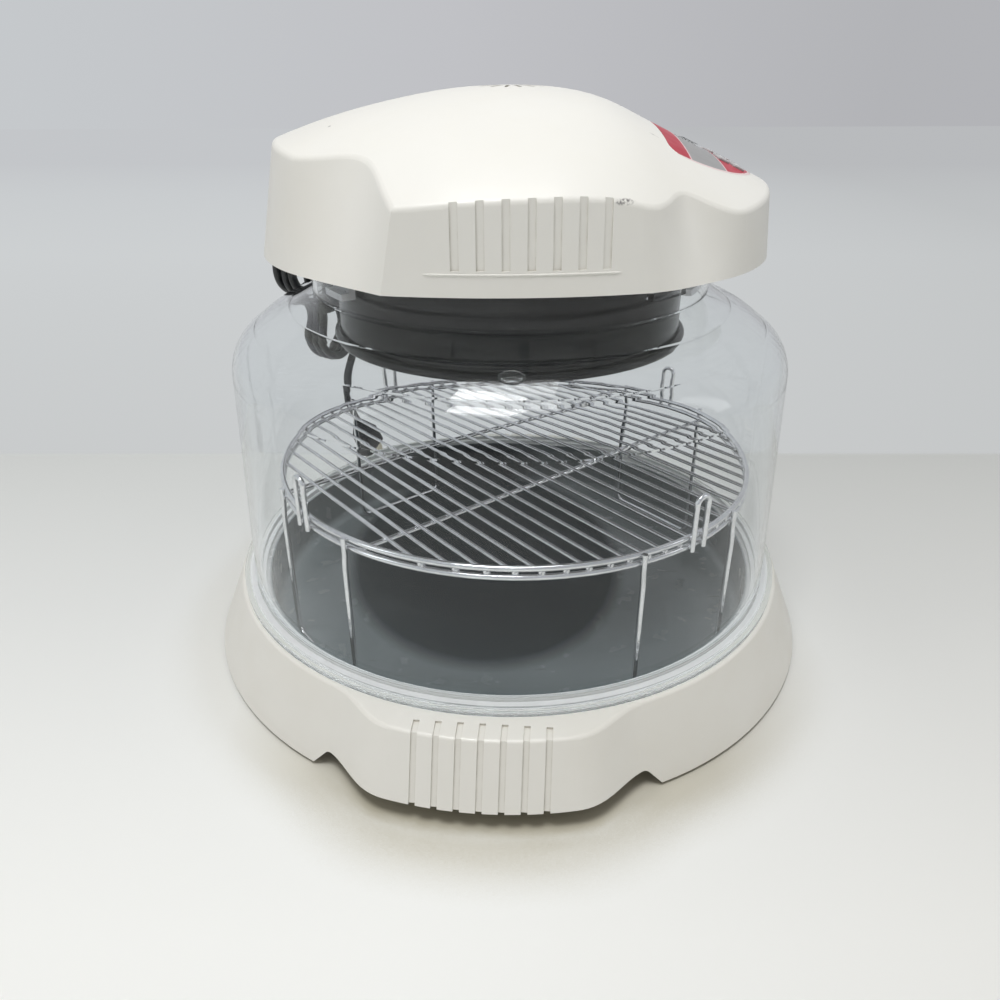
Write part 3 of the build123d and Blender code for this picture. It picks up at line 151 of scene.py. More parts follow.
# the painted shade under the base: how far it reaches, how open the table is
# where it is full and where it ends, and its tones from left to right
SHADE_REACH = 45 * MM
SHADE_FULL, SHADE_END = 0.86, 0.98
SHADE_WIDE = (-0.16, 0.20)
SHADE_PALE, SHADE_WARM = (0.90, 0.89, 0.87), (0.60, 0.56, 0.46)
SHADE_SOFT, SHADE_NONE = (0.66, 0.63, 0.56), (1.0, 1.0, 1.0)
table_paper, table_tree, table_out = new_material("table_and_paper")
table_place = table_tree.nodes.new("ShaderNodeTexCoord")
table_turn = table_tree.nodes.new("ShaderNodeMapping")
table_turn.inputs["Rotation"].default_value = (0, 0, -CAMERA_TURN)
table_axes = table_tree.nodes.new("ShaderNodeSeparateXYZ")
link_chain(
    table_tree,
    (table_place.outputs["Object"], table_turn.inputs["Vector"]),
    (table_turn.outputs[0], table_axes.inputs[0]),
)
table_across, table_along = table_axes.outputs["X"], table_axes.outputs["Y"]
table_tone = blend_colour(
    table_tree, 1.0,
    tone_along(table_tree, table_along, TABLE_LONG, TABLE_LONG_TONES),
    tone_along(table_tree, table_across, TABLE_WIDE, TABLE_WIDE_TONES),
    "MULTIPLY",
)
paper_tone = blend_colour(
    table_tree, 1.0,
    tone_along(table_tree, table_along, PAPER_LONG, PAPER_LONG_TONES),
    tone_along(table_tree, table_across, PAPER_WIDE, PAPER_WIDE_TONES),
    "MULTIPLY",
)
# painted shadow: the table's colour darkens, warm, where little open air is round it
table_open = table_tree.nodes.new("ShaderNodeAmbientOcclusion")
table_open.inputs["Distance"].default_value = SHADE_REACH
table_open.samples = 16
shade_tone = tone_along(
    table_tree, table_across, SHADE_WIDE, (SHADE_PALE, SHADE_WARM, SHADE_WARM, SHADE_SOFT, SHADE_NONE)
)
shade_share = spread_value(table_tree, table_open.outputs["AO"], SHADE_FULL, SHADE_END, 1, 0)
shaded_tone = blend_colour(table_tree, 1.0, shade_tone, table_tone, "MULTIPLY")
table_tone = blend_colour(table_tree, shade_share, table_tone, shaded_tone)
table_shader = table_tree.nodes.new("ShaderNodeBsdfPrincipled")
table_shader.inputs["Roughness"].default_value = 0.5
table_shader.inputs["Specular IOR Level"].default_value = 0.2
# seen straight, in reflections or through the dome, the paper glows with its tones as painted light
paper_light = table_tree.nodes.new("ShaderNodeEmission")
paper_dull = table_tree.nodes.new("ShaderNodeBsdfDiffuse")
paper_mix = table_tree.nodes.new("ShaderNodeMixShader")
table_mix = table_tree.nodes.new("ShaderNodeMixShader")
link_chain(
    table_tree,
    (table_tone, table_shader.inputs["Base Color"]),
    (paper_tone, paper_light.inputs["Color"]),
    (paper_tone, paper_dull.inputs["Color"]),
    (seen_rays(table_tree), paper_mix.inputs["Fac"]),
    (paper_dull.outputs[0], paper_mix.inputs[1]),
    (paper_light.outputs[0], paper_mix.inputs[2]),
    (spread_value(table_tree, table_along, TABLE_END, TABLE_END + TABLE_SEAM), table_mix.inputs["Fac"]),
    (table_shader.outputs[0], table_mix.inputs[1]),
    (paper_mix.outputs[0], table_mix.inputs[2]),
    (table_mix.outputs[0], table_out.inputs["Surface"]),
)
table_corners = [(x * TABLE_HALF, y * TABLE_HALF, 0) for x, y in ((-1, -1), (1, -1), (1, 1), (-1, 1))]
table_mesh = bpy.data.meshes.new("studio_table")
table_mesh.from_pydata(table_corners, [], [(0, 1, 2, 3)])
table_mesh.materials.append(table_paper)
studio_table = bpy.data.objects.new("studio_table", table_mesh)
bpy.context.scene.collection.objects.link(studio_table)


# ------------------------------------------------------------ light
# Two soft lamps hang high, over the oven and in front of it, weak ones stand
# round it, and a pale, slightly warm room fills the shadows.
ROOM_FILL = (1.0, 0.975, 0.925)
ROOM_STRENGTH = 0.32
# what is seen straight or through the dome, from left to right
ROOM_WIDE = (-0.42, 0.45)
ROOM_WIDE_TONES = ((0.56, 0.58, 0.60), (0.53, 0.535, 0.56), (0.45, 0.455, 0.475))
# what shows in reflections: from front to back, and added to it from above
GLOSS_LONG, GLOSS_TALL = (-0.5, 0.5), (0.35, 0.95)
GLOSS_LONG_TONES = ((0.13, 0.13, 0.135), (0.28, 0.28, 0.29), (0.56, 0.57, 0.59))
GLOSS_TALL_TONES = ((0.0, 0.0, 0.0), (0.20, 0.20, 0.21))
world = bpy.data.worlds.new("studio")
bpy.context.scene.world = world
world.use_nodes = True
world_tree = world.node_tree
world_tree.nodes.clear()
room_fill = world_tree.nodes.new("ShaderNodeBackground")
room_fill.inputs["Color"].default_value = (*ROOM_FILL, 1)
room_fill.inputs["Strength"].default_value = ROOM_STRENGTH
room_place = world_tree.nodes.new("ShaderNodeTexCoord")
room_axes = world_tree.nodes.new("ShaderNodeSeparateXYZ")
room_paper = world_tree.nodes.new("ShaderNodeBackground")
room_gloss = world_tree.nodes.new("ShaderNodeBackground")
room_path = world_tree.nodes.new("ShaderNodeLightPath").outputs
room_mirror = world_tree.nodes.new("ShaderNodeMixShader")
room_mix = world_tree.nodes.new("ShaderNodeMixShader")
room_out = world_tree.nodes.new("ShaderNodeOutputWorld")
room_paper_tone = tone_along(world_tree, room_axes.outputs["X"], ROOM_WIDE, ROOM_WIDE_TONES)
room_gloss_tone = blend_colour(
    world_tree, 1.0,
    tone_along(world_tree, room_axes.outputs["Y"], GLOSS_LONG, GLOSS_LONG_TONES),
    tone_along(world_tree, room_axes.outputs["Z"], GLOSS_TALL, GLOSS_TALL_TONES),
    "ADD",
)
room_through = combine(world_tree, "MAXIMUM", room_path["Is Camera Ray"], room_path["Is Transmission Ray"])
link_chain(
    world_tree,
    (room_place.outputs["Generated"], room_axes.inputs[0]),
    (room_paper_tone, room_paper.inputs["Color"]),
    (room_gloss_tone, room_gloss.inputs["Color"]),
    (room_path["Is Glossy Ray"], room_mirror.inputs["Fac"]),
    (room_fill.outputs[0], room_mirror.inputs[1]),
    (room_gloss.outputs[0], room_mirror.inputs[2]),
    (room_through, room_mix.inputs["Fac"]),
    (room_mirror.outputs[0], room_mix.inputs[1]),
    (room_paper.outputs[0], room_mix.inputs[2]),
    (room_mix.outputs[0], room_out.inputs["Surface"]),
)


def soft_lamp(name, place, aim, width, height, power):
    """Rectangular lamp turned towards a point."""
    data = bpy.data.lights.new(name, "AREA")
    data.shape = "RECTANGLE"
    data.size, data.size_y, data.energy = width, height, power
    lamp = bpy.data.objects.new(name, data)
    lamp.location = place
    lamp.rotation_euler = (Vector(aim) - Vector(place)).to_track_quat("-Z", "Y").to_euler()
    bpy.context.scene.collection.objects.link(lamp)


AIM_LOW, AIM_MIDDLE = (0, 0, 0.10), (0, 0, 0.15)
soft_lamp("lamp_over", (0.0, 0.05, 2.6), AIM_LOW, width=1.0, height=1.0, power=13)
soft_lamp("lamp_high_front", (-0.3, -0.6, 2.45), AIM_LOW, width=0.8, height=0.6, power=28)
soft_lamp("lamp_front", (-0.35, -1.0, 1.2), AIM_MIDDLE, width=0.9, height=0.5, power=0.2)
soft_lamp("lamp_left", (-1.3, -0.5, 0.9), AIM_MIDDLE, width=0.25, height=1.0, power=1.1)
soft_lamp("lamp_right", (1.3, -0.2, 0.8), AIM_MIDDLE, width=0.2, height=0.9, power=0.9)


# ------------------------------------------------------------ base ring
# The base is one injection moulding in white satin plastic. It has yellowed a
# little; grime and painted shade darken the grooves of its two grips and its
# other inside corners.
def grain(tree, place, scale, detail=4.0):
    """Noise over the piece's own coordinates."""
    noise = tree.nodes.new("ShaderNodeTexNoise")
    noise.inputs["Scale"].default_value = scale
    noise.inputs["Detail"].default_value = detail
    tree.links.new(place, noise.inputs["Vector"])
    return noise.outputs["Fac"]


def finish(name, colour, worn, rough, patch=14.0, fine=900.0, bump=0.03, **plain):
    """Surface with patchy colour, uneven gloss and a fine grain. Returns material, tree, shader, place."""
    material, tree, out = new_material(name)
    shader = tree.nodes.new("ShaderNodeBsdfPrincipled")
    place = tree.nodes.new("ShaderNodeTexCoord").outputs["Object"]
    patches = grain(tree, place, patch, 5.0)
    specks = grain(tree, place, fine, 3.0)
    tone = blend_colour(tree, spread_value(tree, patches, low=0.42, high=0.72), colour, worn)
    gloss = spread_value(tree, grain(tree, place, patch * 4), 0.3, 0.7, *rough)
    relief = tree.nodes.new("ShaderNodeBump")
    relief.inputs["Strength"].default_value = bump
    relief.inputs["Distance"].default_value = 0.3 * MM
    link_chain(
        tree,
        (tone, shader.inputs["Base Color"]),
        (gloss, shader.inputs["Roughness"]),
        (specks, relief.inputs["Height"]),
        (relief.outputs["Normal"], shader.inputs["Normal"]),
        (shader.outputs[0], out.inputs["Surface"]),
    )
    for socket, number in plain.items():
        shader.inputs[socket.replace("_", " ")].default_value = number
    return material, tree, shader, place


def paint_over(tree, shader, fac, colour):
    """Lays a second colour over a shader's own where a value says so."""
    under = shader.inputs["Base Color"].links[0].from_socket
    tree.links.new(blend_colour(tree, fac, under, colour), shader.inputs["Base Color"])


# brown of grime, laid with painted shade into narrow grooves and inside corners
GRIME_AND_SHADE = (0.34, 0.29, 0.22)


def grime_and_shade(tree, shader, place, reach, amount):
    """Darkens narrow grooves and inside corners unevenly with grime and painted shade."""
    open_air = tree.nodes.new("ShaderNodeAmbientOcclusion")
    open_air.only_local = True
    open_air.inputs["Distance"].default_value = reach
    depth = spread_value(tree, open_air.outputs["AO"], low=0.30, high=0.80, to_low=amount, to_high=0)
    patchy = spread_value(tree, grain(tree, place, 160.0, 6.0), low=0.35, high=0.65, to_low=0.35)
    paint_over(tree, shader, combine(tree, "MULTIPLY", depth, patchy), GRIME_AND_SHADE)


def dress(material, *names):
    """Gives CAD nodes a finished material."""
    for name in names:
        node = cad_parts[name]
        node.data.materials.clear()
        node.data.materials.append(material)


base_white, base_tree, base_shader, base_place = finish(
    "base_white", (0.81, 0.80, 0.755), (0.78, 0.765, 0.71), (0.34, 0.46), bump=0.05, Coat_Weight=0.12
)
grime_and_shade(base_tree, base_shader, base_place, reach=2.5 * MM, amount=0.6)
dress(base_white, "base_ring")


# ------------------------------------------------------------ feet
# Six soft pads are pressed into bosses under the base so that it can't slide.
# They are moulded black rubber with a coarse matt skin.
foot_rubber = finish("foot_rubber", (0.035, 0.035, 0.037), (0.06, 0.06, 0.06), (0.75, 0.9), bump=0.3)[0]
dress(foot_rubber, "base_feet")


# ------------------------------------------------------------ liner pan
# The pan is deep drawn sheet with a glossy black coating inside, which is
# finely scratched; a dull dark disc of painted shade lies in its middle. Its
# flange is bare.
PAN_COATING_R, PAN_FADE = 159.1 * MM, 0.3 * MM
PAN_BARE = (0.74, 0.75, 0.76)
PAN_SCRATCHED = (0.05, 0.055, 0.06)
SCRATCH_TURN, SCRATCH_SCALE = radians(-55), (9, 160, 60)
PAN_SHADE_TONE = (0.016, 0.024, 0.030)
PAN_SHADE_CENTRE, PAN_SHADE_REACH = (-14.7 * MM, 36.8 * MM, 0), (98.0 * MM, 131.6 * MM, None)
pan_enamel, pan_tree, pan_shader, pan_place = finish(
    "pan_enamel", (0.175, 0.205, 0.215), (0.19, 0.22, 0.23), (0.16, 0.30), patch=20.0, bump=0.015, IOR=1.5
)


def distance(tree, place, centre=(0, 0, 0), reach=(1, 1, None)):
    """Distance from a point in shares of a reach per axis; None leaves an axis out."""
    shift = tree.nodes.new("ShaderNodeVectorMath")
    shift.operation = "SUBTRACT"
    shift.inputs[1].default_value = centre
    shares = tree.nodes.new("ShaderNodeVectorMath")
    shares.operation = "MULTIPLY"
    shares.inputs[1].default_value = [1 / along if along else 0 for along in reach]
    length = tree.nodes.new("ShaderNodeVectorMath")
    length.operation = "LENGTH"
    link_chain(
        tree,
        (place, shift.inputs[0]),
        (shift.outputs[0], shares.inputs[0]),
        (shares.outputs[0], length.inputs[0]),
    )
    return length.outputs["Value"]


pan_edge = spread_value(
    pan_tree, distance(pan_tree, pan_place), PAN_COATING_R - PAN_FADE, PAN_COATING_R + PAN_FADE
)
paint_over(pan_tree, pan_shader, pan_edge, PAN_BARE)
pan_streaks = pan_tree.nodes.new("ShaderNodeMapping")
pan_streaks.inputs["Rotation"].default_value = (0, 0, SCRATCH_TURN)
pan_streaks.inputs["Scale"].default_value = SCRATCH_SCALE
pan_tree.links.new(pan_place, pan_streaks.inputs["Vector"])
pan_scratch = spread_value(
    pan_tree, grain(pan_tree, pan_streaks.outputs[0], 4.0, 8.0), low=0.66, high=0.72, to_high=0.7
)
paint_over(pan_tree, pan_shader, pan_scratch, PAN_SCRATCHED)
# painted shade: the pan's middle, under the head and drum, is dull and dark
pan_middle = distance(pan_tree, pan_place, PAN_SHADE_CENTRE, PAN_SHADE_REACH)
pan_shade_share = spread_value(pan_tree, pan_middle, low=0.94, high=1.05, to_low=0.90, to_high=0)
pan_painted_shade = pan_tree.nodes.new("ShaderNodeBsdfDiffuse")
pan_painted_shade.inputs["Color"].default_value = (*PAN_SHADE_TONE, 1)
pan_mix = pan_tree.nodes.new("ShaderNodeMixShader")
pan_surface = pan_shader.outputs[0].links[0].to_socket
link_chain(
    pan_tree,
    (combine(pan_tree, "MULTIPLY", pan_edge, 0.5), pan_shader.inputs["Metallic"]),
    (pan_shade_share, pan_mix.inputs["Fac"]),
    (pan_shader.outputs[0], pan_mix.inputs[1]),
    (pan_painted_shade.outputs[0], pan_mix.inputs[2]),
    (pan_mix.outputs[0], pan_surface),
)
dress(pan_enamel, "liner_pan")


# ------------------------------------------------------------ dome
# The dome is one clear moulded shell with a slight blue cast, finely scratched
# and hazed by wiping. It stands on the pan's flange, and its foot is frosted.
DOME_IOR = 1.30
DOME_CLEAR, DOME_CAST = (0.975, 0.988, 0.993), (0.96, 0.977, 0.985)
DOME_SHADOW = (0.94, 0.955, 0.96)  # tint of the light that it lets by
DOME_DUST = (0.80, 0.82, 0.83)
FROST_TOP, FROST_R, FROST_FADE = 49.9 * MM, 170.4 * MM, 0.6 * MM
FROST_SHARE = 0.85
WIPE_SCALE = (30, 30, 420)
dome_clear, dome_tree, dome_out = new_material("dome_clear")
dome_place = dome_tree.nodes.new("ShaderNodeTexCoord").outputs["Object"]
dome_path = dome_tree.nodes.new("ShaderNodeLightPath").outputs
dome_shader = dome_tree.nodes.new("ShaderNodeBsdfPrincipled")
dome_shader.inputs["Transmission Weight"].default_value = 1.0
dome_shader.inputs["IOR"].default_value = DOME_IOR
dome_dust = dome_tree.nodes.new("ShaderNodeBsdfDiffuse")
dome_dust.inputs["Color"].default_value = (*DOME_DUST, 1)
dome_worn = dome_tree.nodes.new("ShaderNodeMixShader")
dome_pass = dome_tree.nodes.new("ShaderNodeBsdfTransparent")
dome_pass.inputs["Color"].default_value = (*DOME_SHADOW, 1)
dome_mix = dome_tree.nodes.new("ShaderNodeMixShader")
dome_relief = dome_tree.nodes.new("ShaderNodeBump")
dome_relief.inputs["Strength"].default_value = 0.06
dome_relief.inputs["Distance"].default_value = 2 * MM
dome_axes = dome_tree.nodes.new("ShaderNodeSeparateXYZ")
dome_wipes = dome_tree.nodes.new("ShaderNodeMapping")
dome_wipes.inputs["Scale"].default_value = WIPE_SCALE
dome_tone = blend_colour(dome_tree, grain(dome_tree, dome_place, 30.0), DOME_CLEAR, DOME_CAST)
dome_patches = grain(dome_tree, dome_place, 60.0, 8.0)
dome_rough = spread_value(dome_tree, dome_patches, low=0.5, high=0.85, to_high=0.04)
dome_streaks = grain(dome_tree, dome_wipes.outputs[0], 1.0, 9.0)
dome_haze = spread_value(dome_tree, dome_streaks, low=0.45, high=0.8, to_low=0.002, to_high=0.018)
dome_low = spread_value(
    dome_tree, dome_axes.outputs["Z"], FROST_TOP - FROST_FADE, FROST_TOP + FROST_FADE, FROST_SHARE, 0
)
dome_inner = spread_value(
    dome_tree, distance(dome_tree, dome_place), FROST_R - FROST_FADE, FROST_R + FROST_FADE, 1, 0
)
dome_frost = combine(dome_tree, "MULTIPLY", dome_low, dome_inner)
dome_lets_by = combine(dome_tree, "MAXIMUM", dome_path["Is Shadow Ray"], dome_path["Is Diffuse Ray"])
link_chain(
    dome_tree,
    (dome_place, dome_axes.inputs[0]),
    (dome_place, dome_wipes.inputs["Vector"]),
    (dome_tone, dome_shader.inputs["Base Color"]),
    (dome_rough, dome_shader.inputs["Roughness"]),
    (grain(dome_tree, dome_place, 9.0, 1.0), dome_relief.inputs["Height"]),
    (dome_relief.outputs["Normal"], dome_shader.inputs["Normal"]),
    (combine(dome_tree, "MAXIMUM", dome_frost, dome_haze), dome_worn.inputs["Fac"]),
    (dome_shader.outputs[0], dome_worn.inputs[1]),
    (dome_dust.outputs[0], dome_worn.inputs[2]),
    (dome_lets_by, dome_mix.inputs["Fac"]),
    (dome_worn.outputs[0], dome_mix.inputs[1]),
    (dome_pass.outputs[0], dome_mix.inputs[2]),
    (dome_mix.outputs[0], dome_out.inputs["Surface"]),
)
dress(dome_clear, "dome_shell")


def skin_of(name):
    """Search tree over a CAD node's faces."""
    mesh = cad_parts[name].data
    corners = [vertex.co.copy() for vertex in mesh.vertices]
    return BVHTree.FromPolygons(corners, [list(face.vertices) for face in mesh.polygons])


def add_piece(name, bodies, material, body):
    """Piece that rides on a body, made of closed solids, each given as rings of as many corners."""
    corners, faces = [], []
    for rings in bodies:
        start, count = len(corners), len(rings[0])
        corners += [tuple(corner) for ring in rings for corner in ring]
        last = len(corners) - count
        faces += [tuple(range(start, start + count)), tuple(range(last, last + count))]
        for low in range(start, last, count):
            for step in range(count):
                beside = (step + 1) % count
                faces.append((low + step, low + beside, low + count + beside, low + count + step))
    mesh = bpy.data.meshes.new(name)
    mesh.from_pydata(corners, [], faces)
    mesh.materials.append(material)
    shape = bmesh.new()
    shape.from_mesh(mesh)
    bmesh.ops.recalc_face_normals(shape, faces=shape.faces)
    shape.to_mesh(mesh)
    shape.free()
    piece = bpy.data.objects.new(name, mesh)
    bpy.context.scene.collection.objects.link(piece)
    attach(piece, body)


# a low oval button with a raised edge is moulded on the cone; its rings are
# given as a share of its half lengths and a height over the cone in mm
PIP_LONG, PIP_WIDE, PIP_STEPS = 6.2 * MM, 4.2 * MM, 40
PIP_RINGS = ((1.0, -0.3), (1.0, 0.15), (0.93, 0.55), (0.80, 0.60), (0.68, 0.25), (0.3, 0.15))
PIP_FROM, PIP_WAY = Vector((-9.3, -160.0, 215.7)) * MM, Vector((0.02, 1, -0.35))
pip_seat, pip_normal, _, _ = skin_of("dome_shell").ray_cast(PIP_FROM, PIP_WAY)
pip_side = Vector((0, 0, 1)).cross(pip_normal).normalized()
pip_up = pip_normal.cross(pip_side)
pip_turns = [2 * pi * step / PIP_STEPS for step in range(PIP_STEPS)]
pip_rings = []
for share, lift in PIP_RINGS:
    middle = pip_seat + pip_normal * lift * MM
    pip_rings.append([
        middle + pip_side * PIP_LONG * share * cos(turn) + pip_up * PIP_WIDE * share * sin(turn)
        for turn in pip_turns
    ])
add_piece("dome_pip", [pip_rings], dome_clear, "dome")


# ------------------------------------------------------------ head cover and tray
# The head's cover and the tray under it are the same white plastic as the base,
# screwed together from below. Knocks have left a scuff on the brow and chips.
head_white, head_tree, head_shader, head_place = finish(
    "head_white", (0.865, 0.86, 0.82), (0.845, 0.835, 0.785), (0.36, 0.48), bump=0.05, Coat_Weight=0.10
)
# grime and painted shade darken the cover's and tray's grooves and inside corners
grime_and_shade(head_tree, head_shader, head_place, reach=3.0 * MM, amount=0.55)
KNOCKS = (  # place and reach in mm
    ((39.5, -122.5, 278.5), (5.2, 8.0, 1.6)),
    ((-91.1, -40.0, 306.0), (1.4, 2.0, 4.0)),
    ((63.5, -56.2, 298.0), (5.0, 1.2, 4.0)),
)
KNOCK_TONE = (0.23, 0.22, 0.22)
for spot, reach in KNOCKS:
    away = distance(head_tree, head_place, Vector(spot) * MM, Vector(reach) * MM)
    near = spread_value(head_tree, away, low=0.55, high=1.0, to_low=1, to_high=0)
    broken = spread_value(head_tree, grain(head_tree, head_place, 700.0), low=0.4, high=0.6)
    paint_over(head_tree, head_shader, combine(head_tree, "MULTIPLY", near, broken), KNOCK_TONE)
dress(head_white, "head_cover", "underside_tray")

# a fine raised line joins the lower ends of the grip's grooves on both sides;
# its section is given outwards and upwards in mm and sinks away at both ends
GRIP_LINE_FROM, GRIP_LINE_TO, GRIP_LINE_STEPS = -46.3 * MM, 39.0 * MM, 60
GRIP_LINE_HEIGHT, GRIP_LINE_START = 250.5 * MM, 170.0 * MM
GRIP_LINE_SECTION = ((-0.4, -0.55), (0.28, -0.35), (0.42, 0.0), (0.28, 0.35), (-0.4, 0.55))
GRIP_LINE_END = 0.15
head_skin = skin_of("head_cover")
for side, line_name in ((-1, "grip_line_near"), (1, "grip_line_far")):
    line_rings = []
    for step in range(GRIP_LINE_STEPS + 1):
        along = GRIP_LINE_FROM + (GRIP_LINE_TO - GRIP_LINE_FROM) * step / GRIP_LINE_STEPS
        start = Vector((along, side * GRIP_LINE_START, GRIP_LINE_HEIGHT))
        hit = head_skin.ray_cast(start, Vector((0, -side, 0)))[0]
        share = GRIP_LINE_END if step in (0, GRIP_LINE_STEPS) else 1.0
        line_rings.append([
            hit + Vector((0, side * (out * share if out > 0 else out), up)) * MM
            for out, up in GRIP_LINE_SECTION
        ])
    add_piece(line_name, [line_rings], head_white, "head")


# ------------------------------------------------------------ seal, screws and hooks
# A soft grey ring lies under the head, on the dome's collar. Three pressed
# hooks hold the dome; six screws hold the tray, all zinc plated steel.
seal_grey = finish("seal_grey", (0.05, 0.05, 0.052), (0.08, 0.08, 0.08), (0.6, 0.75), bump=0.1)[0]
dress(seal_grey, "seal_ring")
steel = finish(
    "plated_steel", (0.56, 0.56, 0.57), (0.47, 0.47, 0.49), (0.26, 0.42), patch=60.0, bump=0.08, Metallic=1.0
)[0]
dress(steel, "tray_screws", "lock_hooks", "element_clips", "motor_shaft", "motor_bracket")


# ------------------------------------------------------------ heater drum
# A glossy black drum hangs under the head; inside it are a bright reflector,
# the ring-shaped heating tube on its clips and a round wire guard.
drum_enamel = finish(
    "drum_enamel", (0.004, 0.005, 0.007), (0.007, 0.007, 0.008), (0.14, 0.26), patch=25.0, bump=0.02,
    Specular_IOR_Level=0.35
)[0]
dress(drum_enamel, "heater_housing")
reflector_sheet = finish(
    "reflector_sheet", (0.62, 0.62, 0.63), (0.40, 0.38, 0.36), (0.22, 0.4), patch=30.0, bump=0.06,
    Metallic=1.0
)[0]
dress(reflector_sheet, "reflector_plate", "convection_fan", "cooling_fan")
element_tube = finish(
    "element_tube", (0.17, 0.155, 0.15), (0.10, 0.085, 0.08), (0.4, 0.6), patch=50.0, bump=0.2, Metallic=0.8
)[0]
dress(element_tube, "heating_element")


# ------------------------------------------------------------ motor and board
# A shaded-pole motor with a wound coil drives both fans; the control board
# behind the panel carries the display and eight switches.
core_iron = finish(
    "core_iron", (0.20, 0.205, 0.215), (0.14, 0.14, 0.15), (0.4, 0.6), patch=80.0, bump=0.3, Metallic=0.9
)[0]
dress(core_iron, "motor_frame")
coil_wire = finish(
    "coil_wire", (0.50, 0.20, 0.08), (0.42, 0.15, 0.06), (0.25, 0.4), patch=60.0, bump=0.6, Metallic=0.9
)[0]
dress(coil_wire, "motor_coil")
board_green = finish(
    "board_green", (0.02, 0.11, 0.05), (0.03, 0.15, 0.07), (0.3, 0.45), patch=120.0, bump=0.1
)[0]
dress(board_green, "control_board")
switch_black = finish("switch_black", (0.02, 0.02, 0.02), (0.03, 0.03, 0.03), (0.4, 0.55), bump=0.1)[0]
dress(switch_black, "key_switches", "display_module")


# ------------------------------------------------------------ control panel
# A film, printed red with a grey band across it round the display, is glued into
# a shallow recess of the cover. Fine pale lines cross it below the band and edge
# the band, and a highlight is painted along the film's edge.
def band(tree, value, low, high, soft):
    """1 between two limits of a value."""
    up = spread_value(tree, value, low - soft, low + soft)
    down = spread_value(tree, value, high - soft, high + soft, 1, 0)
    return combine(tree, "MULTIPLY", up, down)


FILM_PALE, FILM_GREY, FILM_EDGE_HIGHLIGHT = (0.78, 0.56, 0.58), (0.33, 0.33, 0.335), (0.80, 0.66, 0.66)
GREY_TOP, GREY_FOOT, GREY_BORDER = 83.5 * MM, 104.5 * MM, 0.8 * MM
FILM_LINE_PITCH, FILM_LINE_HALF = 16.3 * MM, 0.3 * MM
FILM_CENTRE, FILM_EDGE_R = (63.5 * MM, 0, 0), 65.75 * MM
SHARP, CRISP = 0.1 * MM, 0.2 * MM
panel_film, film_tree, film_shader, film_place = finish(
    "panel_film", (0.50, 0.022, 0.05), (0.44, 0.018, 0.042), (0.34, 0.44), patch=30.0, bump=0.02,
    Specular_IOR_Level=0.3
)
film_axes = film_tree.nodes.new("ShaderNodeSeparateXYZ")
film_tree.links.new(film_place, film_axes.inputs[0])
film_x, film_y = film_axes.outputs["X"], film_axes.outputs["Y"]
for line_y in (-FILM_LINE_PITCH, 0.0, FILM_LINE_PITCH):
    line = band(film_tree, film_y, line_y - FILM_LINE_HALF, line_y + FILM_LINE_HALF, SHARP)
    below = spread_value(film_tree, film_x, GREY_FOOT, GREY_FOOT + CRISP)
    paint_over(film_tree, film_shader, combine(film_tree, "MULTIPLY", line, below), FILM_PALE)
film_border = band(film_tree, film_x, GREY_TOP - GREY_BORDER, GREY_FOOT + GREY_BORDER, SHARP)
paint_over(film_tree, film_shader, film_border, FILM_PALE)
paint_over(film_tree, film_shader, band(film_tree, film_x, GREY_TOP, GREY_FOOT, CRISP), FILM_GREY)
# a painted highlight along the film's curved edge
film_edge_highlight = spread_value(
    film_tree, distance(film_tree, film_place, FILM_CENTRE), FILM_EDGE_R - 0.15 * MM, FILM_EDGE_R + 0.15 * MM
)
paint_over(film_tree, film_shader, film_edge_highlight, FILM_EDGE_HIGHLIGHT)
dress(panel_film, "panel_overlay")

window_grey = finish(
    "window_grey", (0.150, 0.158, 0.150), (0.165, 0.172, 0.165), (0.06, 0.12), bump=0.01, Coat_Weight=0.6
)[0]
dress(window_grey, "display_window")
key_grey = finish("key_grey", (0.46, 0.46, 0.47), (0.42, 0.42, 0.43), (0.35, 0.5), bump=0.08)[0]
dress(key_grey, *[f"key_{number}" for number in range(1, 9)])

# the panel's own frame: down the slope, round the crown's axis and out of the
# face, in mm and radians
PANEL_SLOPE = radians(24)
PANEL_X, PANEL_Z, CROWN_AXIS = 106.0, 290.0, 106.4
FACE_START = 6.0  # over the face, where the search for it starts
PRINT_SINK = 0.05


def on_panel(down, swing, out, across=0.0):
    """Point on the control panel."""
    x = PANEL_X + down * cos(PANEL_SLOPE) + out * sin(PANEL_SLOPE)
    rise = PANEL_Z - down * sin(PANEL_SLOPE) + out * cos(PANEL_SLOPE) - CROWN_AXIS
    y = across * cos(swing) - rise * sin(swing)
    z = across * sin(swing) + rise * cos(swing) + CROWN_AXIS
    return Vector((x, y, z)) * MM


def print_marks(name, node, outlines, down, swing, thick, material, body):
    """Thin raised print on a CAD node, made of flat outlines of (right, up) corners in mm."""
    start = on_panel(down, swing, FACE_START)
    way = (on_panel(down, swing, 0) - start).normalized()
    face = FACE_START - skin_of(node).ray_cast(start, way)[3] / MM
    solids = []
    for outline in outlines:
        solids.append([
            [on_panel(down - up, swing, level, right) for right, up in outline]
            for level in (face - PRINT_SINK, face + thick)
        ])
    add_piece(name, solids, material, body)


def bar(left, low, right, high):
    """Upright rectangle as an outline."""
    return [(left, low), (right, low), (right, high), (left, high)]


def wheel(outer, inner, count, share=1.0):
    """Ring or spokes as a row of outlines."""
    outlines = []
    for step in range(count):
        first, last = 2 * pi * step / count, 2 * pi * (step + share) / count
        ends = ((inner, first), (outer, first), (outer, last), (inner, last))
        outlines.append([(r * cos(turn), r * sin(turn)) for r, turn in ends])
    return outlines


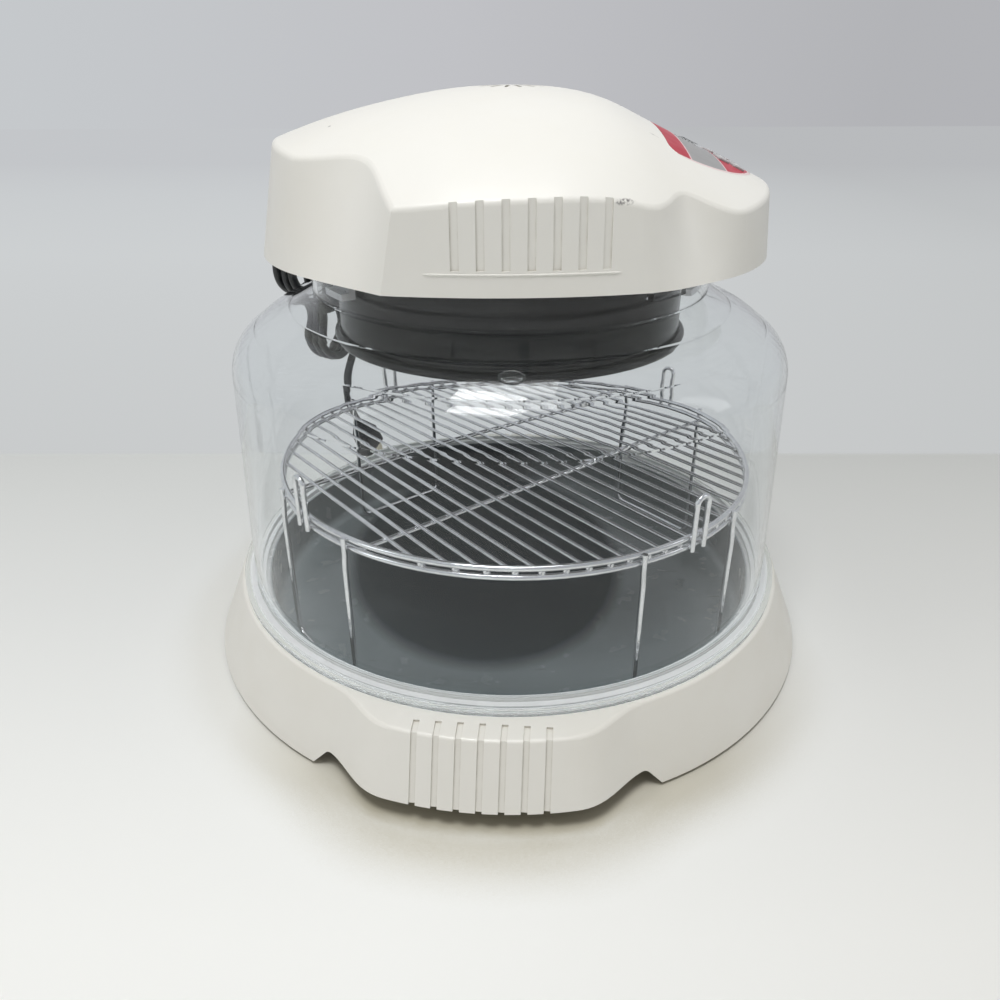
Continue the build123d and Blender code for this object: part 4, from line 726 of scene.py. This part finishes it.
# the keys carry plain signs: up, down, more, less, time, fan, stop, start
KEY_SIGNS = (
    [[(-2.2, -1.3), (2.2, -1.3), (0.0, 1.8)]],
    [[(-2.2, 1.3), (0.0, -1.8), (2.2, 1.3)]],
    [bar(-2.0, -0.35, 2.0, 0.35), bar(-0.35, 0.36, 0.35, 2.0), bar(-0.35, -2.0, 0.35, -0.36)],
    [bar(-2.0, -0.35, 2.0, 0.35)],
    [*wheel(2.2, 1.75, 20), bar(-0.2, 0.0, 0.2, 1.5), bar(0.21, -0.2, 1.2, 0.2)],
    wheel(2.2, 0.5, 4, 0.45),
    [bar(-1.5, -1.5, 1.5, 1.5)],
    [[(-1.5, -1.9), (2.0, 0.0), (-1.5, 1.9)]],
)
KEY_COLUMNS, KEY_ROWS, KEY_STEP = 4, (3.5, 13.0), radians(5.2)
SIGN_THICK = 0.06
sign_white = finish("sign_white", (0.86, 0.86, 0.85), (0.80, 0.80, 0.79), (0.4, 0.5), bump=0.02)[0]
for number, marks in enumerate(KEY_SIGNS, start=1):
    row, column = divmod(number - 1, KEY_COLUMNS)
    swing = (column - (KEY_COLUMNS - 1) / 2) * KEY_STEP
    print_marks(
        f"key_sign_{number}", f"key_{number}", marks, KEY_ROWS[row], swing, SIGN_THICK, sign_white,
        f"key_{number}_cap"
    )

# four unlit digits of seven bars each, and two dots between the pairs, show
# faintly in the display's window
DIGIT_DOWN, DIGIT_THICK = -12.5, 0.04
DIGIT_BARS = (
    bar(-1.9, 3.75, 1.9, 4.45), bar(-1.9, -0.35, 1.9, 0.35), bar(-1.9, -4.45, 1.9, -3.75),
    bar(-2.7, 0.45, -2.0, 4.35), bar(2.0, 0.45, 2.7, 4.35), bar(-2.7, -4.35, -2.0, -0.45),
    bar(2.0, -4.35, 2.7, -0.45),
)
DIGIT_MIDDLES = (-14.5, -6.5, 6.5, 14.5)
digits = [bar(-0.4, 1.2, 0.4, 2.0), bar(-0.4, -2.0, 0.4, -1.2)]
for middle in DIGIT_MIDDLES:
    digits += [[(x + middle, y) for x, y in outline] for outline in DIGIT_BARS]
digit_grey = finish("digit_grey", (0.085, 0.092, 0.088), (0.095, 0.102, 0.098), (0.1, 0.2), bump=0.01)[0]
print_marks(
    "display_digits", "display_window", digits, DIGIT_DOWN, 0.0, DIGIT_THICK, digit_grey,
    "head"
)


# ------------------------------------------------------------ rack
# The rack is chromed wire: two rings with a grate between them, cross bars,
# four tall legs and four short hairpins, all spot welded.
chrome = finish(
    "rack_chrome", (0.80, 0.805, 0.815), (0.68, 0.68, 0.69), (0.06, 0.14), patch=90.0, bump=0.03, Metallic=1.0
)[0]
dress(chrome, "rack_rings", "rack_grate", "rack_bars", "rack_legs", "rack_hairpins")
guard_wire = finish(
    "guard_wire", (0.30, 0.30, 0.31), (0.20, 0.195, 0.19), (0.2, 0.35), patch=90.0, bump=0.05, Metallic=1.0
)[0]
dress(guard_wire, "heater_guard")


def new_node_group(name, **inputs):
    """Geometry node tree with named number inputs; returns it with its input and output nodes."""
    group = bpy.data.node_groups.new(name, "GeometryNodeTree")
    for title, default in inputs.items():
        kind = "NodeSocketInt" if isinstance(default, int) else "NodeSocketFloat"
        group.interface.new_socket(title, in_out="INPUT", socket_type=kind).default_value = default
    group.interface.new_socket("Finish", in_out="INPUT", socket_type="NodeSocketMaterial")
    group.interface.new_socket("Shape", in_out="OUTPUT", socket_type="NodeSocketGeometry")
    return group, group.nodes.new("NodeGroupInput"), group.nodes.new("NodeGroupOutput")


def close_group(group, entry, leave, shape):
    """Ends a tree in Realize Instances and Set Material."""
    real = group.nodes.new("GeometryNodeRealizeInstances")
    coat = group.nodes.new("GeometryNodeSetMaterial")
    link_chain(
        group,
        (shape, real.inputs[0]),
        (real.outputs[0], coat.inputs["Geometry"]),
        (entry.outputs["Finish"], coat.inputs["Material"]),
        (coat.outputs[0], leave.inputs[0]),
    )


def grow_piece(name, group, material, body):
    """Runs a geometry node tree, keeps its result as a plain mesh and lets it ride on a body."""
    seed_mesh = bpy.data.meshes.new(name + "_seed")
    holder = bpy.data.objects.new(name + "_seed", seed_mesh)
    bpy.context.scene.collection.objects.link(holder)
    maker = holder.modifiers.new("maker", "NODES")
    maker.node_group = group
    for item in group.interface.items_tree:
        if item.in_out == "INPUT":
            maker[item.identifier] = material if item.name == "Finish" else item.default_value
    graph = bpy.context.evaluated_depsgraph_get()
    mesh = bpy.data.meshes.new_from_object(holder.evaluated_get(graph))
    mesh.name = name
    holder.modifiers.remove(maker)
    bpy.data.objects.remove(holder)
    piece = bpy.data.objects.new(name, mesh)
    bpy.context.scene.collection.objects.link(piece)
    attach(piece, body)


# beads where the grate's wires are welded between the two rings
weld_group, weld_in, weld_out = new_node_group(
    "wire_welds", Wires=25, Pitch=10.3 * MM, Reach=144.9 * MM, Height=111.0 * MM, Bead=1.7 * MM,
    Turn=radians(-54.5), Aside=3.5 * MM
)
weld_line = weld_group.nodes.new("GeometryNodeMeshLine")
weld_step = weld_group.nodes.new("ShaderNodeCombineXYZ")
weld_first = weld_group.nodes.new("ShaderNodeCombineXYZ")
weld_spot = weld_group.nodes.new("GeometryNodeInputPosition")
weld_split = weld_group.nodes.new("ShaderNodeSeparateXYZ")
weld_place = weld_group.nodes.new("ShaderNodeCombineXYZ")
weld_move = weld_group.nodes.new("GeometryNodeSetPosition")
weld_mirror = weld_group.nodes.new("GeometryNodeTransform")
weld_mirror.inputs["Scale"].default_value = (-1, 1, 1)
weld_join = weld_group.nodes.new("GeometryNodeJoinGeometry")
weld_bead = weld_group.nodes.new("GeometryNodeMeshIcoSphere")
weld_bead.inputs["Subdivisions"].default_value = 2
weld_flat = weld_group.nodes.new("GeometryNodeTransform")
weld_flat.inputs["Scale"].default_value = (0.75, 1.0, 1.25)
weld_copies = weld_group.nodes.new("GeometryNodeInstanceOnPoints")
weld_seat = weld_group.nodes.new("GeometryNodeTransform")
weld_angle = weld_group.nodes.new("ShaderNodeCombineXYZ")
weld_shift = weld_group.nodes.new("ShaderNodeCombineXYZ")
# the row is centred, and each wire ends on the circle between the two rings
weld_gaps = combine(weld_group, "SUBTRACT", weld_in.outputs["Wires"], 1.0)
weld_start = combine(
    weld_group, "MULTIPLY", weld_gaps, combine(weld_group, "MULTIPLY", weld_in.outputs["Pitch"], -0.5)
)
reach_squared = combine(weld_group, "POWER", weld_in.outputs["Reach"], 2.0)
aside_squared = combine(weld_group, "MULTIPLY", weld_split.outputs["Y"], weld_split.outputs["Y"])
weld_far = combine(weld_group, "SQRT", combine(weld_group, "SUBTRACT", reach_squared, aside_squared))
link_chain(
    weld_group,
    (weld_in.outputs["Wires"], weld_line.inputs["Count"]),
    (weld_in.outputs["Pitch"], weld_step.inputs["Y"]),
    (weld_step.outputs[0], weld_line.inputs["Offset"]),
    (weld_start, weld_first.inputs["Y"]),
    (weld_first.outputs[0], weld_line.inputs["Start Location"]),
    (weld_spot.outputs[0], weld_split.inputs[0]),
    (weld_far, weld_place.inputs["X"]),
    (weld_split.outputs["Y"], weld_place.inputs["Y"]),
    (weld_in.outputs["Height"], weld_place.inputs["Z"]),
    (weld_line.outputs[0], weld_move.inputs["Geometry"]),
    (weld_place.outputs[0], weld_move.inputs["Position"]),
    (weld_move.outputs[0], weld_mirror.inputs[0]),
    (weld_move.outputs[0], weld_join.inputs[0]),
    (weld_mirror.outputs[0], weld_join.inputs[0]),
    (weld_in.outputs["Bead"], weld_bead.inputs["Radius"]),
    (weld_bead.outputs[0], weld_flat.inputs[0]),
    (weld_join.outputs[0], weld_copies.inputs["Points"]),
    (weld_flat.outputs[0], weld_copies.inputs["Instance"]),
    (weld_copies.outputs[0], weld_seat.inputs[0]),
    (weld_in.outputs["Turn"], weld_angle.inputs["Z"]),
    (weld_angle.outputs[0], weld_seat.inputs["Rotation"]),
    (weld_in.outputs["Aside"], weld_shift.inputs["X"]),
    (weld_shift.outputs[0], weld_seat.inputs["Translation"]),
)
close_group(weld_group, weld_in, weld_out, weld_seat.outputs[0])
grow_piece("rack_welds", weld_group, chrome, "rack")


# ------------------------------------------------------------ power cord
# A short limp black lead leaves the head's back through a tapered strain
# relief. It is folded into a hank behind the dome, tied, and ends in a plug.
cord_black = finish(
    "cord_black", (0.014, 0.015, 0.018), (0.024, 0.025, 0.029), (0.28, 0.40), patch=40.0, bump=0.1
)[0]
CORD_THICK = 6.2 * MM
HANK_CENTRE = Vector((-133.0, 128.0, 182.0)) * MM
HANK_TURN = Matrix.Rotation(radians(150), 3, "Z") @ Matrix.Rotation(radians(-30), 3, "X")


def on_hank(across, out, along):
    """Point of the hank, given across it, away from the dome and along it, in mm."""
    return HANK_CENTRE + HANK_TURN @ (Vector((out, -across, along)) * MM)


def in_mm(*points):
    """Places given in mm."""
    return [Vector(point) * MM for point in points]


# the hank's sizes in mm: four turns of one long loop, each a cord nearer the
# dome than the last and slid a little along it, with the tie round their waist
BEND_R, BEND_CENTRE = 19.3, 30.0
BEND_STEP, BEND_KNOTS = 30, 9
STRAND_PITCH = 6.2
TURN_SLIDES = (0.0, 1.1, -0.7, 0.6)
WAIST_WIDE, WAIST_NARROW, WAIST_HALF = 8.5, 5.0, 11.5
ENTRY_KNOT, LEAVE_KNOT = 6, 5  # where the lead joins the first bend and the tail leaves the last
CROSS_KNOTS, CROSS_START = 3, 1.5  # each turn comes over to the next on its way up and round
TURNS = len(TURN_SLIDES)
knot_r = BEND_R / cos(radians(BEND_STEP / 2))
cord_points = in_mm(
    (-118.7, 99.6, 259.7), (-130.2, 109.2, 259.7), (-140.2, 117.6, 252.2), (-145.9, 122.4, 239.2)
)
for turn, slide in enumerate(TURN_SLIDES):
    level = STRAND_PITCH * ((TURNS - 1) / 2 - turn)
    first = ENTRY_KNOT if turn == 0 else 0
    for step in range(first, BEND_KNOTS):
        angle = radians(210 - BEND_STEP * step)
        crossing = max(0, CROSS_KNOTS - step) / CROSS_KNOTS
        cord_points.append(on_hank(
            knot_r * cos(angle), level + STRAND_PITCH / 2 * crossing,
            BEND_CENTRE + slide + knot_r * sin(angle),
        ))
    for across, along in ((WAIST_WIDE, WAIST_HALF), (WAIST_NARROW, 0), (WAIST_WIDE, -WAIST_HALF)):
        cord_points.append(on_hank(across, level, along))
    last = LEAVE_KNOT if turn == TURNS - 1 else BEND_KNOTS
    for step in range(last):
        angle = radians(30 - BEND_STEP * step)
        cord_points.append(on_hank(knot_r * cos(angle), level, knot_r * sin(angle) - BEND_CENTRE - slide))
    if turn < TURNS - 1:
        cord_points += [
            on_hank(-WAIST_WIDE, level, -WAIST_HALF), on_hank(-WAIST_NARROW, level, 0),
            on_hank(-WAIST_WIDE, level - CROSS_START, WAIST_HALF),
        ]
cord_points += in_mm(
    (-119.1, 144.0, 119.0), (-121.5, 146.5, 102.5), (-119.5, 149.5, 86.5), (-115.3, 153.0, 72.0)
)
cord_curve = bpy.data.curves.new("power_cord", "CURVE")
cord_curve.dimensions = "3D"
cord_curve.bevel_depth = CORD_THICK / 2
cord_curve.bevel_resolution = 4
cord_curve.resolution_u = 6
cord_curve.use_fill_caps = True
cord_line = cord_curve.splines.new("NURBS")
cord_line.points.add(len(cord_points) - 1)
for knot, point in zip(cord_line.points, cord_points):
    knot.co = (*point, 1)
cord_line.order_u = 3
cord_line.use_endpoint_u = True
cord_curve.materials.append(cord_black)
power_cord = bpy.data.objects.new("power_cord", cord_curve)
bpy.context.scene.collection.objects.link(power_cord)
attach(power_cord, "head")
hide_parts("cord_lead", "cord_hank", "cord_tail")

gland_black = finish("gland_black", (0.020, 0.020, 0.023), (0.030, 0.030, 0.033), (0.45, 0.6), bump=0.2)[0]
dress(gland_black, "cord_gland", "cord_tie")

# ribs moulded round the strain relief so that it bends evenly
ring_group, ring_in, ring_out = new_node_group(
    "gland_rings", Rings=6, Start=133.5 * MM, Step=3.6 * MM, Radius=8.2 * MM, Narrowing=0.52 * MM,
    Wire=0.8 * MM, Height=259.7 * MM, Turn=radians(140)
)
ring_line = ring_group.nodes.new("GeometryNodeMeshLine")
ring_first = ring_group.nodes.new("ShaderNodeCombineXYZ")
ring_step = ring_group.nodes.new("ShaderNodeCombineXYZ")
ring_round = ring_group.nodes.new("GeometryNodeCurvePrimitiveCircle")
ring_round.inputs["Resolution"].default_value = 36
ring_round.inputs["Radius"].default_value = 1.0
ring_wire = ring_group.nodes.new("GeometryNodeCurvePrimitiveCircle")
ring_wire.inputs["Resolution"].default_value = 8
ring_solid = ring_group.nodes.new("GeometryNodeCurveToMesh")
ring_number = ring_group.nodes.new("GeometryNodeInputIndex")
ring_copies = ring_group.nodes.new("GeometryNodeInstanceOnPoints")
ring_copies.inputs["Rotation"].default_value = (0, pi / 2, 0)
ring_seat = ring_group.nodes.new("GeometryNodeTransform")
ring_angle = ring_group.nodes.new("ShaderNodeCombineXYZ")
ring_lift = ring_group.nodes.new("ShaderNodeCombineXYZ")
# the rings are made one metre in radius and scaled, each smaller than the last
ring_less = combine(ring_group, "MULTIPLY", ring_number.outputs[0], ring_in.outputs["Narrowing"])
ring_scale = combine(ring_group, "SUBTRACT", ring_in.outputs["Radius"], ring_less)
ring_wire_share = combine(ring_group, "DIVIDE", ring_in.outputs["Wire"], ring_in.outputs["Radius"])
link_chain(
    ring_group,
    (ring_in.outputs["Rings"], ring_line.inputs["Count"]),
    (ring_in.outputs["Start"], ring_first.inputs["X"]),
    (ring_in.outputs["Step"], ring_step.inputs["X"]),
    (ring_first.outputs[0], ring_line.inputs["Start Location"]),
    (ring_step.outputs[0], ring_line.inputs["Offset"]),
    (ring_wire_share, ring_wire.inputs["Radius"]),
    (ring_round.outputs[0], ring_solid.inputs["Curve"]),
    (ring_wire.outputs[0], ring_solid.inputs["Profile Curve"]),
    (ring_line.outputs[0], ring_copies.inputs["Points"]),
    (ring_solid.outputs[0], ring_copies.inputs["Instance"]),
    (ring_scale, ring_copies.inputs["Scale"]),
    (ring_copies.outputs[0], ring_seat.inputs[0]),
    (ring_in.outputs["Turn"], ring_angle.inputs["Z"]),
    (ring_angle.outputs[0], ring_seat.inputs["Rotation"]),
    (ring_in.outputs["Height"], ring_lift.inputs["Z"]),
    (ring_lift.outputs[0], ring_seat.inputs["Translation"]),
)
close_group(ring_group, ring_in, ring_out, ring_seat.outputs[0])
grow_piece("gland_rings", ring_group, gland_black, "head")

plug_black = finish("plug_black", (0.02, 0.02, 0.022), (0.03, 0.03, 0.033), (0.35, 0.5), bump=0.15)[0]
dress(plug_black, "plug_body")
prong_metal = finish(
    "prong_metal", (0.70, 0.66, 0.55), (0.60, 0.56, 0.46), (0.2, 0.3), patch=80.0, bump=0.05, Metallic=1.0
)[0]
dress(prong_metal, "plug_prongs")
